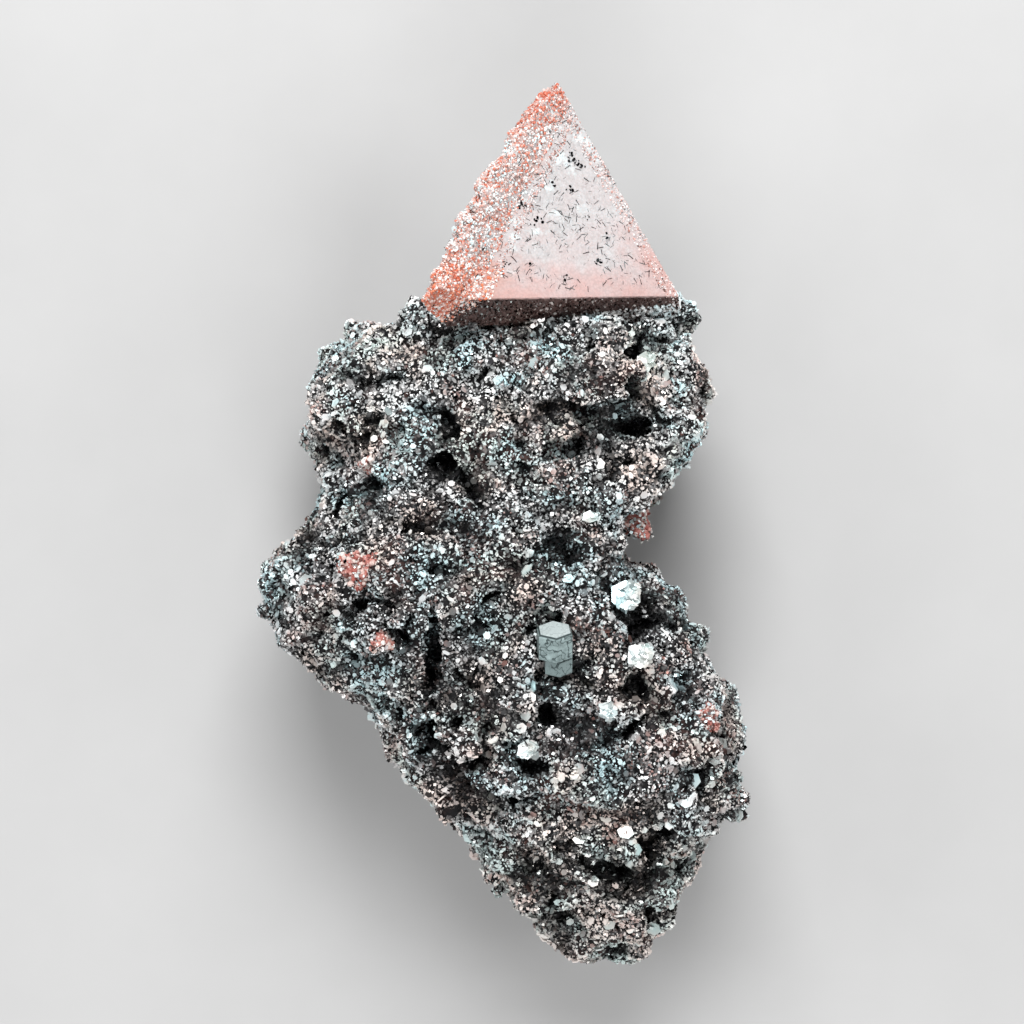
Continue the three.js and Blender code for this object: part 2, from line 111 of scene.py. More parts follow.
class Graph:
    """A node tree that is being drawn, with short calls for the nodes that the specimen uses."""

    def __init__(self, tree: bpy.types.NodeTree) -> None:
        """Keeps the tree that the nodes go into."""
        self.tree = tree

    def node(self, kind: str, inputs: Optional[Mapping[Any, Value]] = None,
             **settings: Any) -> bpy.types.Node:
        """Adds a node.

        Args:
            kind: Blender's name of the node type.
            inputs: values or sockets for its inputs, by name or by index.
            **settings: properties of the node, set before its inputs.

        Returns:
            The new node.
        """
        made = self.tree.nodes.new(kind)
        for name, value in settings.items():
            setattr(made, name, value)
        for key, value in (inputs or {}).items():
            self.feed(self.inlet(made, key), value)
        return made

    @staticmethod
    def inlet(node: bpy.types.Node, key: Union[int, str]) -> bpy.types.NodeSocket:
        """Finds an input of a node.

        Args:
            node: the node to look in.
            key: the input's index, or the name of one that is in use.

        Returns:
            The input socket.
        """
        if isinstance(key, int):
            return node.inputs[key]
        return next(socket for socket in node.inputs if socket.name == key and socket.enabled)

    def feed(self, socket: bpy.types.NodeSocket, value: Value) -> None:
        """Links a socket to an input, or sets the input's own value.

        Args:
            socket: the input to fill.
            value: an output socket to link, or a plain value.
        """
        if isinstance(value, bpy.types.NodeSocket):
            self.tree.links.new(value, socket)
        else:
            socket.default_value = value

    def math(self, operation: str, *values: Value) -> bpy.types.NodeSocket:
        """Adds a number operation, by Blender's name of it, with its inputs in order."""
        return self.node("ShaderNodeMath", dict(enumerate(values)), operation=operation).outputs[0]

    def plus(self, *values: Value) -> bpy.types.NodeSocket:
        """Adds two numbers up."""
        return self.math("ADD", *values)

    def minus(self, *values: Value) -> bpy.types.NodeSocket:
        """Takes the second number from the first."""
        return self.math("SUBTRACT", *values)

    def times(self, *values: Value) -> bpy.types.NodeSocket:
        """Multiplies two numbers."""
        return self.math("MULTIPLY", *values)

    def most(self, *values: Value) -> bpy.types.NodeSocket:
        """Takes the larger of two numbers."""
        return self.math("MAXIMUM", *values)

    def axis(self, vector: Value, name: str) -> bpy.types.NodeSocket:
        """Takes the X, Y or Z of a vector."""
        return self.node("ShaderNodeSeparateXYZ", {0: vector}).outputs[name]

    def joined(self, *values: Value) -> bpy.types.NodeSocket:
        """Joins an X, a Y and a Z into a vector."""
        return self.node("ShaderNodeCombineXYZ", dict(enumerate(values))).outputs[0]

    def vector(self, operation: str, *values: Value) -> bpy.types.NodeSocket:
        """Adds a vector operation that gives a vector, by Blender's name of it."""
        made = self.node("ShaderNodeVectorMath", dict(enumerate(values)), operation=operation)
        return made.outputs["Vector"]

    def scaled(self, vector: Value, length: Value) -> bpy.types.NodeSocket:
        """Multiplies a vector by a number."""
        made = self.node("ShaderNodeVectorMath", {0: vector, "Scale": length}, operation="SCALE")
        return made.outputs["Vector"]

    def band(self, value: Value, low: Value, high: Value, start: Value = 0.0,
             end: Value = 1.0) -> bpy.types.NodeSocket:
        """Eases from a start to an end value while a number crosses a band, upwards or downwards."""
        keys = {"Value": value, "From Min": low, "From Max": high, "To Min": start, "To Max": end}
        return self.node("ShaderNodeMapRange", keys, interpolation_type="SMOOTHSTEP").outputs[0]

    def blend(self, share: Value, low: Value, high: Value, mode: str = "MIX") -> bpy.types.NodeSocket:
        """Mixes two colours, by the share of the second and Blender's name of the way that they mix."""
        inputs = {0: share, 6: rgba(low), 7: rgba(high)}
        return self.node("ShaderNodeMix", inputs, data_type="RGBA", blend_type=mode).outputs[2]

    def noise(self, place: Value, size: float, detail: float = 2.0,
              rough: float = 0.5) -> bpy.types.NodeSocket:
        """Adds cloudy noise around one half, with the size of its clouds in millimetres."""
        keys = {"Vector": place, "Scale": 1 / (size * MM), "Detail": detail, "Roughness": rough}
        return self.node("ShaderNodeTexNoise", keys).outputs[0]

    def swing(self, place: Value, size: float, detail: float = 2.0) -> bpy.types.NodeSocket:
        """Adds cloudy noise that swings around zero."""
        return self.minus(self.noise(place, size, detail), 0.5)

    def cells(self, place: Value, size: float) -> bpy.types.Node:
        """Adds a pattern of grains of a size in millimetres, and gives its whole node."""
        return self.node("ShaderNodeTexVoronoi", {"Vector": place, "Scale": 1 / (size * MM)})

    def ramp(self, share: Value, stops: Stops) -> bpy.types.NodeSocket:
        """Adds a ramp of colours.

        Args:
            share: where on the ramp to read.
            stops: positions and their colours, in order.

        Returns:
            The colour.
        """
        made = self.node("ShaderNodeValToRGB", {0: share})
        elements = made.color_ramp.elements
        while len(elements) < len(stops):
            elements.new(1.0)
        for element, (position, colour) in zip(elements, stops):
            element.position = position
            element.color = rgba(colour)
        return made.outputs[0]

    def attribute(self, name: str) -> bpy.types.NodeSocket:
        """Reads a number that the piece's mesh carries, in a material."""
        return self.node("ShaderNodeAttribute", attribute_name=name).outputs["Fac"]

    def carried(self, name: str) -> bpy.types.NodeSocket:
        """Reads a number that the mesh carries, in Geometry Nodes."""
        return self.node("GeometryNodeInputNamedAttribute", {"Name": name}, data_type="FLOAT").outputs[0]

    def store(self, geometry: Value, name: str, value: Value, domain: str) -> bpy.types.NodeSocket:
        """Writes a number onto a geometry."""
        keys = {"Geometry": geometry, "Name": name, "Value": value}
        return self.node("GeometryNodeStoreNamedAttribute", keys, data_type="FLOAT", domain=domain).outputs[0]

    def moved(self, geometry: Value, offset: Value) -> bpy.types.NodeSocket:
        """Moves the points of a geometry."""
        return self.node("GeometryNodeSetPosition", {"Geometry": geometry, "Offset": offset}).outputs[0]

    def tablet(self) -> bpy.types.NodeSocket:
        """Adds a six-sided tablet of radius 1 and height 1."""
        return self.node("GeometryNodeMeshCylinder", {"Vertices": 6, "Radius": 1.0, "Depth": 1.0}).outputs[0]

    def faceted(self, mesh: Value) -> bpy.types.NodeSocket:
        """Keeps the faces of a mesh flat."""
        return self.node("GeometryNodeSetShadeSmooth", {"Geometry": mesh, "Shade Smooth": False}).outputs[0]


def rgba(colour: Value) -> Value:
    """Adds full opacity to a plain colour.

    Args:
        colour: three numbers, or anything else, such as a socket.

    Returns:
        Four numbers, or what was given.
    """
    return (*colour, 1.0) if isinstance(colour, tuple) and len(colour) == 3 else colour


class Effects:
    """Surface effects that several finishes share, each drawn once as a shader node group."""

    MOTTLE = "surface_mottle"
    GRIT = "surface_grit"
    ZONES = "bright_zones"

    LOBES_OUT = (5 * MM, 10 * MM)
    LOBES_UP = (-1 * MM, 6 * MM)
    UPPER_PART = (-2 * MM, 9 * MM)
    FOOT = (-16 * MM, -25 * MM)

    @classmethod
    def group(cls, name: str) -> bpy.types.NodeTree:
        """Finds an effect's group, or draws it.

        Args:
            name: MOTTLE, GRIT or ZONES.

        Returns:
            The node group.
        """
        found = bpy.data.node_groups.get(name)
        if found:
            return found
        return {cls.MOTTLE: cls._mottle, cls.GRIT: cls._grit, cls.ZONES: cls._zones}[name]()

    @staticmethod
    def _open(name: str, inputs: Mapping[str, float], outputs: Sequence[str]) -> tuple[Graph, bpy.types.Node]:
        """Starts a group with number sockets.

        Args:
            name: the group's name.
            inputs: its inputs and their defaults.
            outputs: its outputs.

        Returns:
            The graph to draw in, and the node that carries its inputs.
        """
        tree = bpy.data.node_groups.new(name, "ShaderNodeTree")
        for key, value in inputs.items():
            socket = tree.interface.new_socket(key, in_out="INPUT", socket_type="NodeSocketFloat")
            socket.default_value = value
        for key in outputs:
            tree.interface.new_socket(key, in_out="OUTPUT", socket_type="NodeSocketFloat")
        graph = Graph(tree)
        return graph, graph.node("NodeGroupInput")

    @classmethod
    def _mottle(cls) -> bpy.types.NodeTree:
        """Draws patches that fade into each other: a mask from 0 to 1.

        Returns:
            The node group.
        """
        graph, given = cls._open(cls.MOTTLE, {"Scale": 1000.0, "Level": 0.5, "Softness": 0.15}, ["Mask"])
        place = graph.node("ShaderNodeTexCoord").outputs["Object"]
        keys = {"Vector": place, "Scale": given.outputs["Scale"], "Detail": 4.0, "Roughness": 0.6}
        cloud = graph.node("ShaderNodeTexNoise", keys).outputs[0]
        low = graph.minus(given.outputs["Level"], given.outputs["Softness"])
        high = graph.plus(given.outputs["Level"], given.outputs["Softness"])
        graph.node("NodeGroupOutput", {"Mask": graph.band(cloud, low, high)})
        return graph.tree

    @classmethod
    def _grit(cls) -> bpy.types.NodeTree:
        """Draws a fine sugary roughness: a height, and a mask of the pits between grains for painted shade.

        Returns:
            The node group.
        """
        graph, given = cls._open(cls.GRIT, {"Scale": 4000.0, "Depth": 1.0}, ["Height", "Pit Shade"])
        place = graph.node("ShaderNodeTexCoord").outputs["Object"]
        grain = graph.node("ShaderNodeTexVoronoi", {"Vector": place, "Scale": given.outputs["Scale"]})
        distance = grain.outputs["Distance"]
        keys = {"Vector": place, "Scale": given.outputs["Scale"], "Detail": 3.0}
        dust = graph.node("ShaderNodeTexNoise", keys).outputs[0]
        height = graph.times(graph.minus(dust, distance), given.outputs["Depth"])
        graph.node("NodeGroupOutput", {"Height": height, "Pit Shade": graph.band(distance, 0.35, 0.75)})
        return graph.tree

    @classmethod
    def _zones(cls) -> bpy.types.NodeTree:
        """Draws a mask of the matrix's brighter zones: its two upper lobes, its upper part and its foot.

        Returns:
            The node group.
        """
        inputs = {"Middle": 1.5 * MM, "Upper": 0.35, "Foot": 0.45}
        graph, given = cls._open(cls.ZONES, inputs, ["Mask"])
        place = graph.node("ShaderNodeTexCoord").outputs["Object"]
        along = graph.axis(place, "Y")
        out = graph.math("ABSOLUTE", graph.minus(graph.axis(place, "X"), given.outputs["Middle"]))
        lobes = graph.times(graph.band(out, *cls.LOBES_OUT), graph.band(along, *cls.LOBES_UP))
        upper = graph.band(along, *cls.UPPER_PART, 0.0, given.outputs["Upper"])
        foot = graph.band(along, *cls.FOOT, 0.0, given.outputs["Foot"])
        graph.node("NodeGroupOutput", {"Mask": graph.most(lobes, graph.most(upper, foot))})
        return graph.tree


@dataclass(frozen=True)
class Finish:
    """A finish that can be made into a material."""

    name: str

    def material(self) -> bpy.types.Material:
        """Finds this finish's material, or makes it.

        Returns:
            The material.
        """
        found = bpy.data.materials.get(self.name)
        if found:
            return found
        made = bpy.data.materials.new(self.name)
        made.use_nodes = True
        graph = Graph(made.node_tree)
        shader = made.node_tree.nodes["Principled BSDF"]
        place = graph.node("ShaderNodeTexCoord").outputs["Object"]
        self.paint(graph, shader, place)
        return made

    def paint(self, graph: Graph, shader: bpy.types.Node, place: bpy.types.NodeSocket) -> None:
        """Draws the finish on a material's shader, by its object coordinates. Each finish has its own."""
        raise NotImplementedError

    @staticmethod
    def effect(graph: Graph, name: str, **values: float) -> bpy.types.Node:
        """Places a shared effect in a material.

        Args:
            graph: the material's graph.
            name: the effect's name.
            **values: values of its inputs.

        Returns:
            The placed group.
        """
        made = graph.node("ShaderNodeGroup", node_tree=Effects.group(name))
        for key, value in values.items():
            made.inputs[key].default_value = value
        return made

    @staticmethod
    def bump(graph: Graph, shader: bpy.types.Node, height: Value, strength: float, depth: float) -> None:
        """Roughens a shader's normal by a height map, with the depth of a step of one in millimetres."""
        made = graph.node("ShaderNodeBump", {"Height": height, "Strength": strength, "Distance": depth * MM})
        graph.feed(shader.inputs["Normal"], made.outputs[0])


@dataclass(frozen=True)
class GroundFinish(Finish):
    """The dark ground of the matrix between its plates."""

    name: str = "hematite_ground"
    dark: Colour = (0.005, 0.005, 0.006)
    pale: Colour = (0.2, 0.195, 0.195)
    bright: Colour = (0.72, 0.72, 0.72)
    rust: Colour = (0.13, 0.06, 0.05)
    rust_share: float = 0.6
    grain_size: float = 0.35

    def paint(self, graph: Graph, shader: bpy.types.Node, place: bpy.types.NodeSocket) -> None:
        """Draws dark ground with paler grains and rusty patches, and painted shade in its pits and hollows.

        Args:
            graph: the material's graph.
            shader: its shader node.
            place: the object coordinates.
        """
        grit = self.effect(graph, Effects.GRIT, Scale=3200.0, Depth=1.0)
        patches = self.effect(graph, Effects.MOTTLE, Scale=260.0, Level=0.6, Softness=0.12)
        tone = graph.band(graph.cells(place, self.grain_size).outputs["Color"], 0.4, 0.9)
        zones = self.effect(graph, Effects.ZONES).outputs["Mask"]
        ground = graph.blend(tone, self.dark, graph.blend(zones, self.pale, self.bright))
        rusty = graph.times(patches.outputs["Mask"], self.rust_share)
        colour = graph.blend(rusty, ground, self.rust)
        # Painted shade: the ground darkens in the pits between its grains and in the matrix's hollows.
        deep = graph.most(grit.outputs["Pit Shade"], graph.attribute("hollow_shade"))
        graph.feed(shader.inputs["Base Color"], graph.blend(deep, colour, self.dark))
        graph.feed(shader.inputs["Roughness"], graph.band(tone, 0.0, 1.0, start=0.75, end=0.35))
        shader.inputs["Metallic"].default_value = 0.5
        self.bump(graph, shader, grit.outputs["Height"], strength=0.8, depth=0.12)


@dataclass(frozen=True)
class PlateFinish(Finish):
    """Hematite plates, each with its own tint and gloss; near-black tints paint shade, near-white ones
    glints.
    """

    name: str = "hematite_plates"
    # Near-black: painted shade and dark reflections. Greys: the plates' own colour. Near-white: painted
    # glints.
    stops: Stops = (
        (0.0, (0.004, 0.004, 0.0045)),
        (0.1, (0.012, 0.012, 0.013)),
        (0.17, (0.24, 0.24, 0.245)),
        (0.36, (0.64, 0.65, 0.66)),
        (0.6, (0.96, 0.99, 1.0)),
        (1.0, (0.98, 1.0, 1.0)),
    )
    rust: Colour = (0.36, 0.2, 0.175)
    # Painted shade: the near-black that plates in the matrix's hollows are darkened to.
    hollow_shade: Colour = (0.004, 0.004, 0.0045)
    black_below: float = 0.1
    bright_gain: float = 2.1
    cool: Colour = (0.72, 0.96, 1.0)
    warm: Colour = (1.0, 0.8, 0.71)
    cool_share: float = 0.85
    warm_share: float = 0.75
    warm_foot: Span = (-17.0, -22.0)
    foot_share: float = 0.55
    film_share: float = 0.85
    hollow_shade_share: float = 0.9
    metallic: float = 0.12
    smooth: float = 0.16
    rough: float = 0.5
    line_size: float = 0.09

    def paint(self, graph: Graph, shader: bpy.types.Node, place: bpy.types.NodeSocket) -> None:
        """Draws the plates' tints, cool and warm patches, a rusty film in places, faint growth lines and
        painted hollow shade.

        Args:
            graph: the material's graph.
            shader: its shader node.
            place: the object coordinates.
        """
        bright = self.effect(graph, Effects.ZONES).outputs["Mask"]
        gain = graph.math("MULTIPLY_ADD", bright, self.bright_gain, 1.0)
        shade = graph.times(graph.attribute("tint"), gain)
        tint = graph.ramp(shade, self.stops)
        cool = self.effect(graph, Effects.MOTTLE, Scale=300.0, Level=0.52, Softness=0.1)
        tint = graph.blend(graph.times(cool.outputs["Mask"], self.cool_share), tint, self.cool, "MULTIPLY")
        warm = self.effect(graph, Effects.MOTTLE, Scale=240.0, Level=0.52, Softness=0.12)
        foot = graph.band(graph.axis(place, "Y"), *(end * MM for end in self.warm_foot), 0.0, self.foot_share)
        warmth = graph.most(graph.times(warm.outputs["Mask"], self.warm_share), foot)
        tint = graph.blend(warmth, tint, self.warm, "MULTIPLY")
        film = self.effect(graph, Effects.MOTTLE, Scale=420.0, Level=0.57, Softness=0.1)
        dull = graph.band(graph.attribute("gloss"), 0.35, 0.85, end=self.film_share)
        share = graph.times(film.outputs["Mask"], dull)
        colour = graph.blend(share, tint, self.rust)
        # Painted shade: plates in the matrix's hollows are darkened.
        deep = graph.times(graph.attribute("hollow_shade"), self.hollow_shade_share)
        graph.feed(shader.inputs["Base Color"], graph.blend(deep, colour, self.hollow_shade))
        gloss = graph.band(graph.attribute("gloss"), 0.0, 1.0, self.smooth, self.rough)
        graph.feed(shader.inputs["Roughness"], gloss)
        # Plates at the black end of the tint and under the painted hollow shade turn fully metallic, so that
        # they stay black.
        black = graph.most(deep, graph.band(shade, self.black_below + 0.05, self.black_below - 0.02))
        graph.feed(shader.inputs["Metallic"], graph.band(black, 0.0, 1.0, self.metallic, 1.0))
        shader.inputs["Specular IOR Level"].default_value = 0.3
        self.bump(graph, shader, graph.noise(place, self.line_size), strength=0.25, depth=0.02)


@dataclass(frozen=True)
class ZunyiteFinish(Finish):
    """The large crystal: off-white, pink along its foot and right corner, rust-red on its left bevel."""

    name: str = "zunyite_faces"
    white: Colour = (0.6, 0.59, 0.595)
    grey: Colour = (0.44, 0.425, 0.425)
    pale: Colour = (0.8, 0.9, 0.91)
    blush: Colour = (0.62, 0.5, 0.49)
    pink: Colour = (0.62, 0.38, 0.35)
    rust: Colour = (0.6, 0.27, 0.2)
    # Painted shade: the dark maroon of the pink faces in shade, for the underside and the pits.
    maroon_shade: Colour = (0.1, 0.058, 0.052)
    wander_size: float = 1.6
    wander: float = 3.0
    haze_share: float = 0.4
    speck_size: float = 0.3
    speck_share: float = 0.45
    pit_share: float = 0.12
    cloudy: Span = (8.0, 2.0)
    glassy: Span = (5.0, 1.5)
    pink_foot: Span = (2.6, 0.2)
    pink_right: Span = (2.2, 0.4)
    pink_corner: Span = (4.2, 1.2)
    crust: Span = (1.3, -0.2)
    ember_left: Span = (3.6, 0.2)
    ember_foot: Span = (2.6, 0.2)

    def paint(self, graph: Graph, shader: bpy.types.Node, place: bpy.types.NodeSocket) -> None:
        """Draws the zones by their distance from the crystal's bevels, broken up by mottling, with painted
        shade on the underside and in pits.

        Args:
            graph: the material's graph.
            shader: its shader node.
            place: the object coordinates.
        """
        haze = self.effect(graph, Effects.MOTTLE, Scale=900.0, Level=0.52, Softness=0.2)
        blotch = self.effect(graph, Effects.MOTTLE, Scale=520.0, Level=0.5, Softness=0.2)
        clear = self.effect(graph, Effects.MOTTLE, Scale=640.0, Level=0.6, Softness=0.07)
        grit = self.effect(graph, Effects.GRIT, Scale=6500.0, Depth=1.0)
        wander = graph.times(graph.swing(place, self.wander_size, detail=3.0), self.wander)
        near = {side: graph.plus(graph.attribute(f"from_{side}"), wander)
                for side in ("lower", "right", "left")}
        face = graph.blend(graph.times(haze.outputs["Mask"], self.haze_share), self.white, self.grey)
        speck = graph.band(graph.noise(place, self.speck_size, detail=3.0), 0.46, 0.66)
        face = graph.blend(graph.times(speck, self.speck_share), face, self.grey)
        cloudy = graph.band(near["lower"], *self.cloudy, start=0.15, end=0.6)
        face = graph.blend(graph.times(blotch.outputs["Mask"], cloudy), face, self.blush)
        glassy = graph.band(near["left"], *self.glassy, start=0.1, end=0.9)
        face = graph.blend(graph.times(clear.outputs["Mask"], glassy), face, self.pale)
        low = graph.band(near["lower"], *self.pink_foot, end=0.85)
        right = graph.band(near["right"], *self.pink_right)
        corner = graph.times(right, graph.band(near["lower"], *self.pink_corner))
        rosy = graph.times(graph.most(low, corner), graph.band(blotch.outputs["Mask"], 0.0, 1.0, start=0.7))
        colour = graph.blend(rosy, face, self.pink)
        patchy = graph.band(blotch.outputs["Mask"], 0.0, 1.0, start=0.15, end=0.7)
        colour = graph.blend(graph.times(graph.band(near["left"], *self.crust), patchy), colour, self.rust)
        low = graph.band(near["lower"], *self.ember_foot, end=0.8)
        colour = graph.blend(graph.times(graph.band(near["left"], *self.ember_left), low), colour, self.rust)
        # Painted shade on the downward-facing underside.
        colour = graph.blend(graph.attribute("underside_shade"), colour, self.maroon_shade)
        # Painted shade in the fine pits of the faces.
        pits = graph.times(grit.outputs["Pit Shade"], self.pit_share)
        graph.feed(shader.inputs["Base Color"], graph.blend(pits, colour, self.maroon_shade))
        dull = graph.band(haze.outputs["Mask"], 0.0, 1.0, start=0.34, end=0.55)
        graph.feed(shader.inputs["Roughness"], dull)
        shader.inputs["Subsurface Weight"].default_value = 0.12
        shader.inputs["Subsurface Radius"].default_value = (0.9, 0.5, 0.4)
        shader.inputs["Subsurface Scale"].default_value = 0.6 * MM
        self.bump(graph, shader, grit.outputs["Height"], strength=0.25, depth=0.03)


@dataclass(frozen=True)
class CrumbFinish(Finish):
    """Small grains of zunyite, from white through pink to rust-red, each with its own tint."""

    name: str = "zunyite_crumbs"
    stops: Stops = (
        (0.0, (0.05, 0.035, 0.03)),
        (0.09, (0.38, 0.085, 0.05)),
        (0.3, (0.58, 0.19, 0.12)),
        (0.45, (0.72, 0.47, 0.42)),
        (0.62, (0.82, 0.76, 0.74)),
        (0.88, (0.9, 0.9, 0.89)),
        (1.0, (0.82, 0.93, 0.94)),
    )
    mottle_size: float = 0.12
    mottle_share: float = 0.3

    def paint(self, graph: Graph, shader: bpy.types.Node, place: bpy.types.NodeSocket) -> None:
        """Draws each grain's tint with a mottled surface.

        Args:
            graph: the material's graph.
            shader: its shader node.
            place: the object coordinates.
        """
        grit = self.effect(graph, Effects.GRIT, Scale=7000.0, Depth=1.0)
        mottle = graph.times(graph.swing(place, self.mottle_size), self.mottle_share)
        tint = graph.plus(graph.attribute("tint"), graph.plus(mottle, self.shift(graph, place)))
        graph.feed(shader.inputs["Base Color"], graph.ramp(tint, self.stops))
        dull = graph.band(graph.attribute("gloss"), 0.0, 1.0, start=0.2, end=0.6)
        graph.feed(shader.inputs["Roughness"], dull)
        self.bump(graph, shader, grit.outputs["Height"], strength=0.3, depth=0.03)

    def shift(self, graph: Graph, place: bpy.types.NodeSocket) -> Value:
        """Gives how much the grains' tint shifts from place to place: not at all, on plain grains."""
        return 0.0


@dataclass(frozen=True)
class CrustFinish(CrumbFinish):
    """Grains of the crust on the left bevel: red at the tip and the lower corner, paler between them."""

    name: str = "crust_crumbs"
    stops: Stops = (
        (0.0, (0.6, 0.15, 0.085)),
        (0.2, (0.68, 0.25, 0.17)),
        (0.4, (0.76, 0.48, 0.42)),
        (0.58, (0.82, 0.75, 0.73)),
        (0.85, (0.88, 0.88, 0.87)),
        (1.0, (0.78, 0.92, 0.94)),
    )
    patch_size: float = 1.3
    patches: float = 1.1
    middle: float = 0.06
    tip: Span = (8.2, 9.4)
    tip_shift: float = -0.32
    corner: Span = (2.6, 1.0)
    corner_shift: float = -0.28

    def shift(self, graph: Graph, place: bpy.types.NodeSocket) -> Value:
        """Draws the shift of the tint: patches, and the two redder ends.

        Args:
            graph: the material's graph.
            place: the object coordinates.

        Returns:
            What is added to a grain's tint.
        """
        from_lower = graph.attribute("from_lower")
        patchy = graph.math("MULTIPLY_ADD", graph.swing(place, self.patch_size), self.patches, self.middle)
        tip = graph.band(from_lower, *self.tip, 0.0, self.tip_shift)
        corner = graph.band(from_lower, *self.corner, 0.0, self.corner_shift)
        return graph.plus(patchy, graph.plus(tip, corner))


@dataclass(frozen=True)
class PrismFinish(Finish):
    """The pale grey-green prism, darker at its parting, with painted shade below it and a painted highlight
    on its cap.
    """

    name: str = "prism_faces"
    pale: Colour = (0.47, 0.6, 0.6)
    # Painted highlight: the cap is lighter than the body, as its top faces the light.
    lit_cap: Colour = (0.6, 0.68, 0.68)
    deep: Colour = (0.03, 0.048, 0.05)
    line_size: float = 0.5
    line_width: float = 0.075
    line_share: float = 0.95
    cap_line_share: float = 0.285

    def paint(self, graph: Graph, shader: bpy.types.Node, place: bpy.types.NodeSocket) -> None:
        """Draws a cloudy grey-green with curling dark lines, a dark parting, painted shade below it and a
        painted highlight on the cap.

        Args:
            graph: the material's graph.
            shader: its shader node.
            place: the object coordinates.
        """
        cloud = self.effect(graph, Effects.MOTTLE, Scale=2400.0, Level=0.5, Softness=0.25)
        grit = self.effect(graph, Effects.GRIT, Scale=6000.0, Depth=1.0)
        lit_cap = graph.attribute("lit_cap")
        shade = graph.times(cloud.outputs["Mask"], graph.band(lit_cap, 0.0, 1.0, start=0.65, end=0.2))
        middle = graph.math("ABSOLUTE", graph.swing(place, self.line_size, detail=1.0))
        share = graph.band(lit_cap, 0.0, 1.0, self.line_share, self.cap_line_share)
        line = graph.times(graph.band(middle, self.line_width, 0.0), share)
        dark = graph.most(shade, line)
        # The dark parting, and painted shade on the part below the parting.
        for mark in ("parting", "lower_shade"):
            dark = graph.most(dark, graph.attribute(mark))
        # Painted highlight on the cap.
        colour = graph.blend(lit_cap, self.pale, self.lit_cap)
        graph.feed(shader.inputs["Base Color"], graph.blend(dark, colour, self.deep))
        dull = graph.band(cloud.outputs["Mask"], 0.0, 1.0, start=0.22, end=0.45)
        graph.feed(shader.inputs["Roughness"], dull)
        shader.inputs["Metallic"].default_value = 0.15
        self.bump(graph, shader, grit.outputs["Height"], strength=0.25, depth=0.03)


@dataclass(frozen=True)
class FloorFinish(Finish):
    """The plain pale floor."""

    name: str = "pale_floor"
    pale: Colour = (0.52, 0.52, 0.52)
    soft: Colour = (0.49, 0.49, 0.49)

    def paint(self, graph: Graph, shader: bpy.types.Node, place: bpy.types.NodeSocket) -> None:
        """Draws a faintly uneven pale surface.

        Args:
            graph: the material's graph.
            shader: its shader node.
            place: the object coordinates; not used.
        """
        cloud = self.effect(graph, Effects.MOTTLE, Scale=60.0, Level=0.5, Softness=0.3)
        graph.feed(shader.inputs["Base Color"], graph.blend(cloud.outputs["Mask"], self.pale, self.soft))
        shader.inputs["Roughness"].default_value = 0.7


class Recipe:
    """A Geometry Nodes tree that is run on a mesh and turned into a plain mesh."""

    def __init__(self, name: str, numbers: Sequence[str], others: Optional[Mapping[str, str]] = None) -> None:
        """Starts the tree, with a geometry as its first input and a material as its last.

        Args:
            name: the tree's name.
            numbers: names of its number inputs.
            others: names of other inputs and their socket types.
        """
        kinds = {"Geometry": "NodeSocketGeometry", **dict.fromkeys(numbers, "NodeSocketFloat"),
                 **(others or {}), "Material": "NodeSocketMaterial"}
        self.tree = bpy.data.node_groups.new(name, "GeometryNodeTree")
        self.tree.interface.new_socket("Geometry", in_out="OUTPUT", socket_type="NodeSocketGeometry")
        for key, kind in kinds.items():
            self.tree.interface.new_socket(key, in_out="INPUT", socket_type=kind)
        self.graph = Graph(self.tree)
        self.given = self.graph.node("NodeGroupInput").outputs

    def place(self) -> bpy.types.NodeSocket:
        """Reads where each point lies."""
        return self.graph.node("GeometryNodeInputPosition").outputs[0]

    def normal(self) -> bpy.types.NodeSocket:
        """Reads which way the surface looks."""
        return self.graph.node("GeometryNodeInputNormal").outputs[0]

    def close(self, geometry: bpy.types.NodeSocket) -> None:
        """Ends the tree: instances are made real and the material is set.

        Args:
            geometry: what the tree has made.
        """
        real = self.graph.node("GeometryNodeRealizeInstances", {"Geometry": geometry}).outputs[0]
        keys = {"Geometry": real, "Material": self.given["Material"]}
        dressed = self.graph.node("GeometryNodeSetMaterial", keys)
        self.graph.node("NodeGroupOutput", {0: dressed.outputs[0]})

    def run(self, piece: bpy.types.Object, values: Mapping[str, Value]) -> bpy.types.Object:
        """Runs the tree on a piece and keeps the result as the piece's plain mesh.

        Args:
            piece: the piece, which the tree gets as its geometry.
            values: the tree's inputs by name.

        Returns:
            The piece.
        """
        modifier = piece.modifiers.new(self.tree.name, "NODES")
        modifier.node_group = self.tree
        for item in self.tree.interface.items_tree:
            if item.in_out == "INPUT" and item.name in values:
                modifier[item.identifier] = values[item.name]
        return flatten(piece)


def flatten(piece: bpy.types.Object) -> bpy.types.Object:
    """Replaces a piece's mesh with its evaluated one and drops the modifiers.

    Args:
        piece: the piece.

    Returns:
        The piece.
    """
    bpy.context.view_layer.update()
    graph = bpy.context.evaluated_depsgraph_get()
    mesh = bpy.data.meshes.new_from_object(
        piece.evaluated_get(graph), preserve_all_data_layers=True, depsgraph=graph)
    old = piece.data
    piece.modifiers.clear()
    piece.data = mesh
    mesh.name = piece.name
    if old.users == 0:
        bpy.data.meshes.remove(old)
    return piece


def piece_from(name: str, mesh: bpy.types.Mesh) -> bpy.types.Object:
    """Puts a mesh into the scene as a new piece.

    Args:
        name: the piece's name.
        mesh: its mesh, in the frame's own coordinates.

    Returns:
        The piece.
    """
    made = bpy.data.objects.new(name, mesh)
    bpy.context.scene.collection.objects.link(made)
    return made


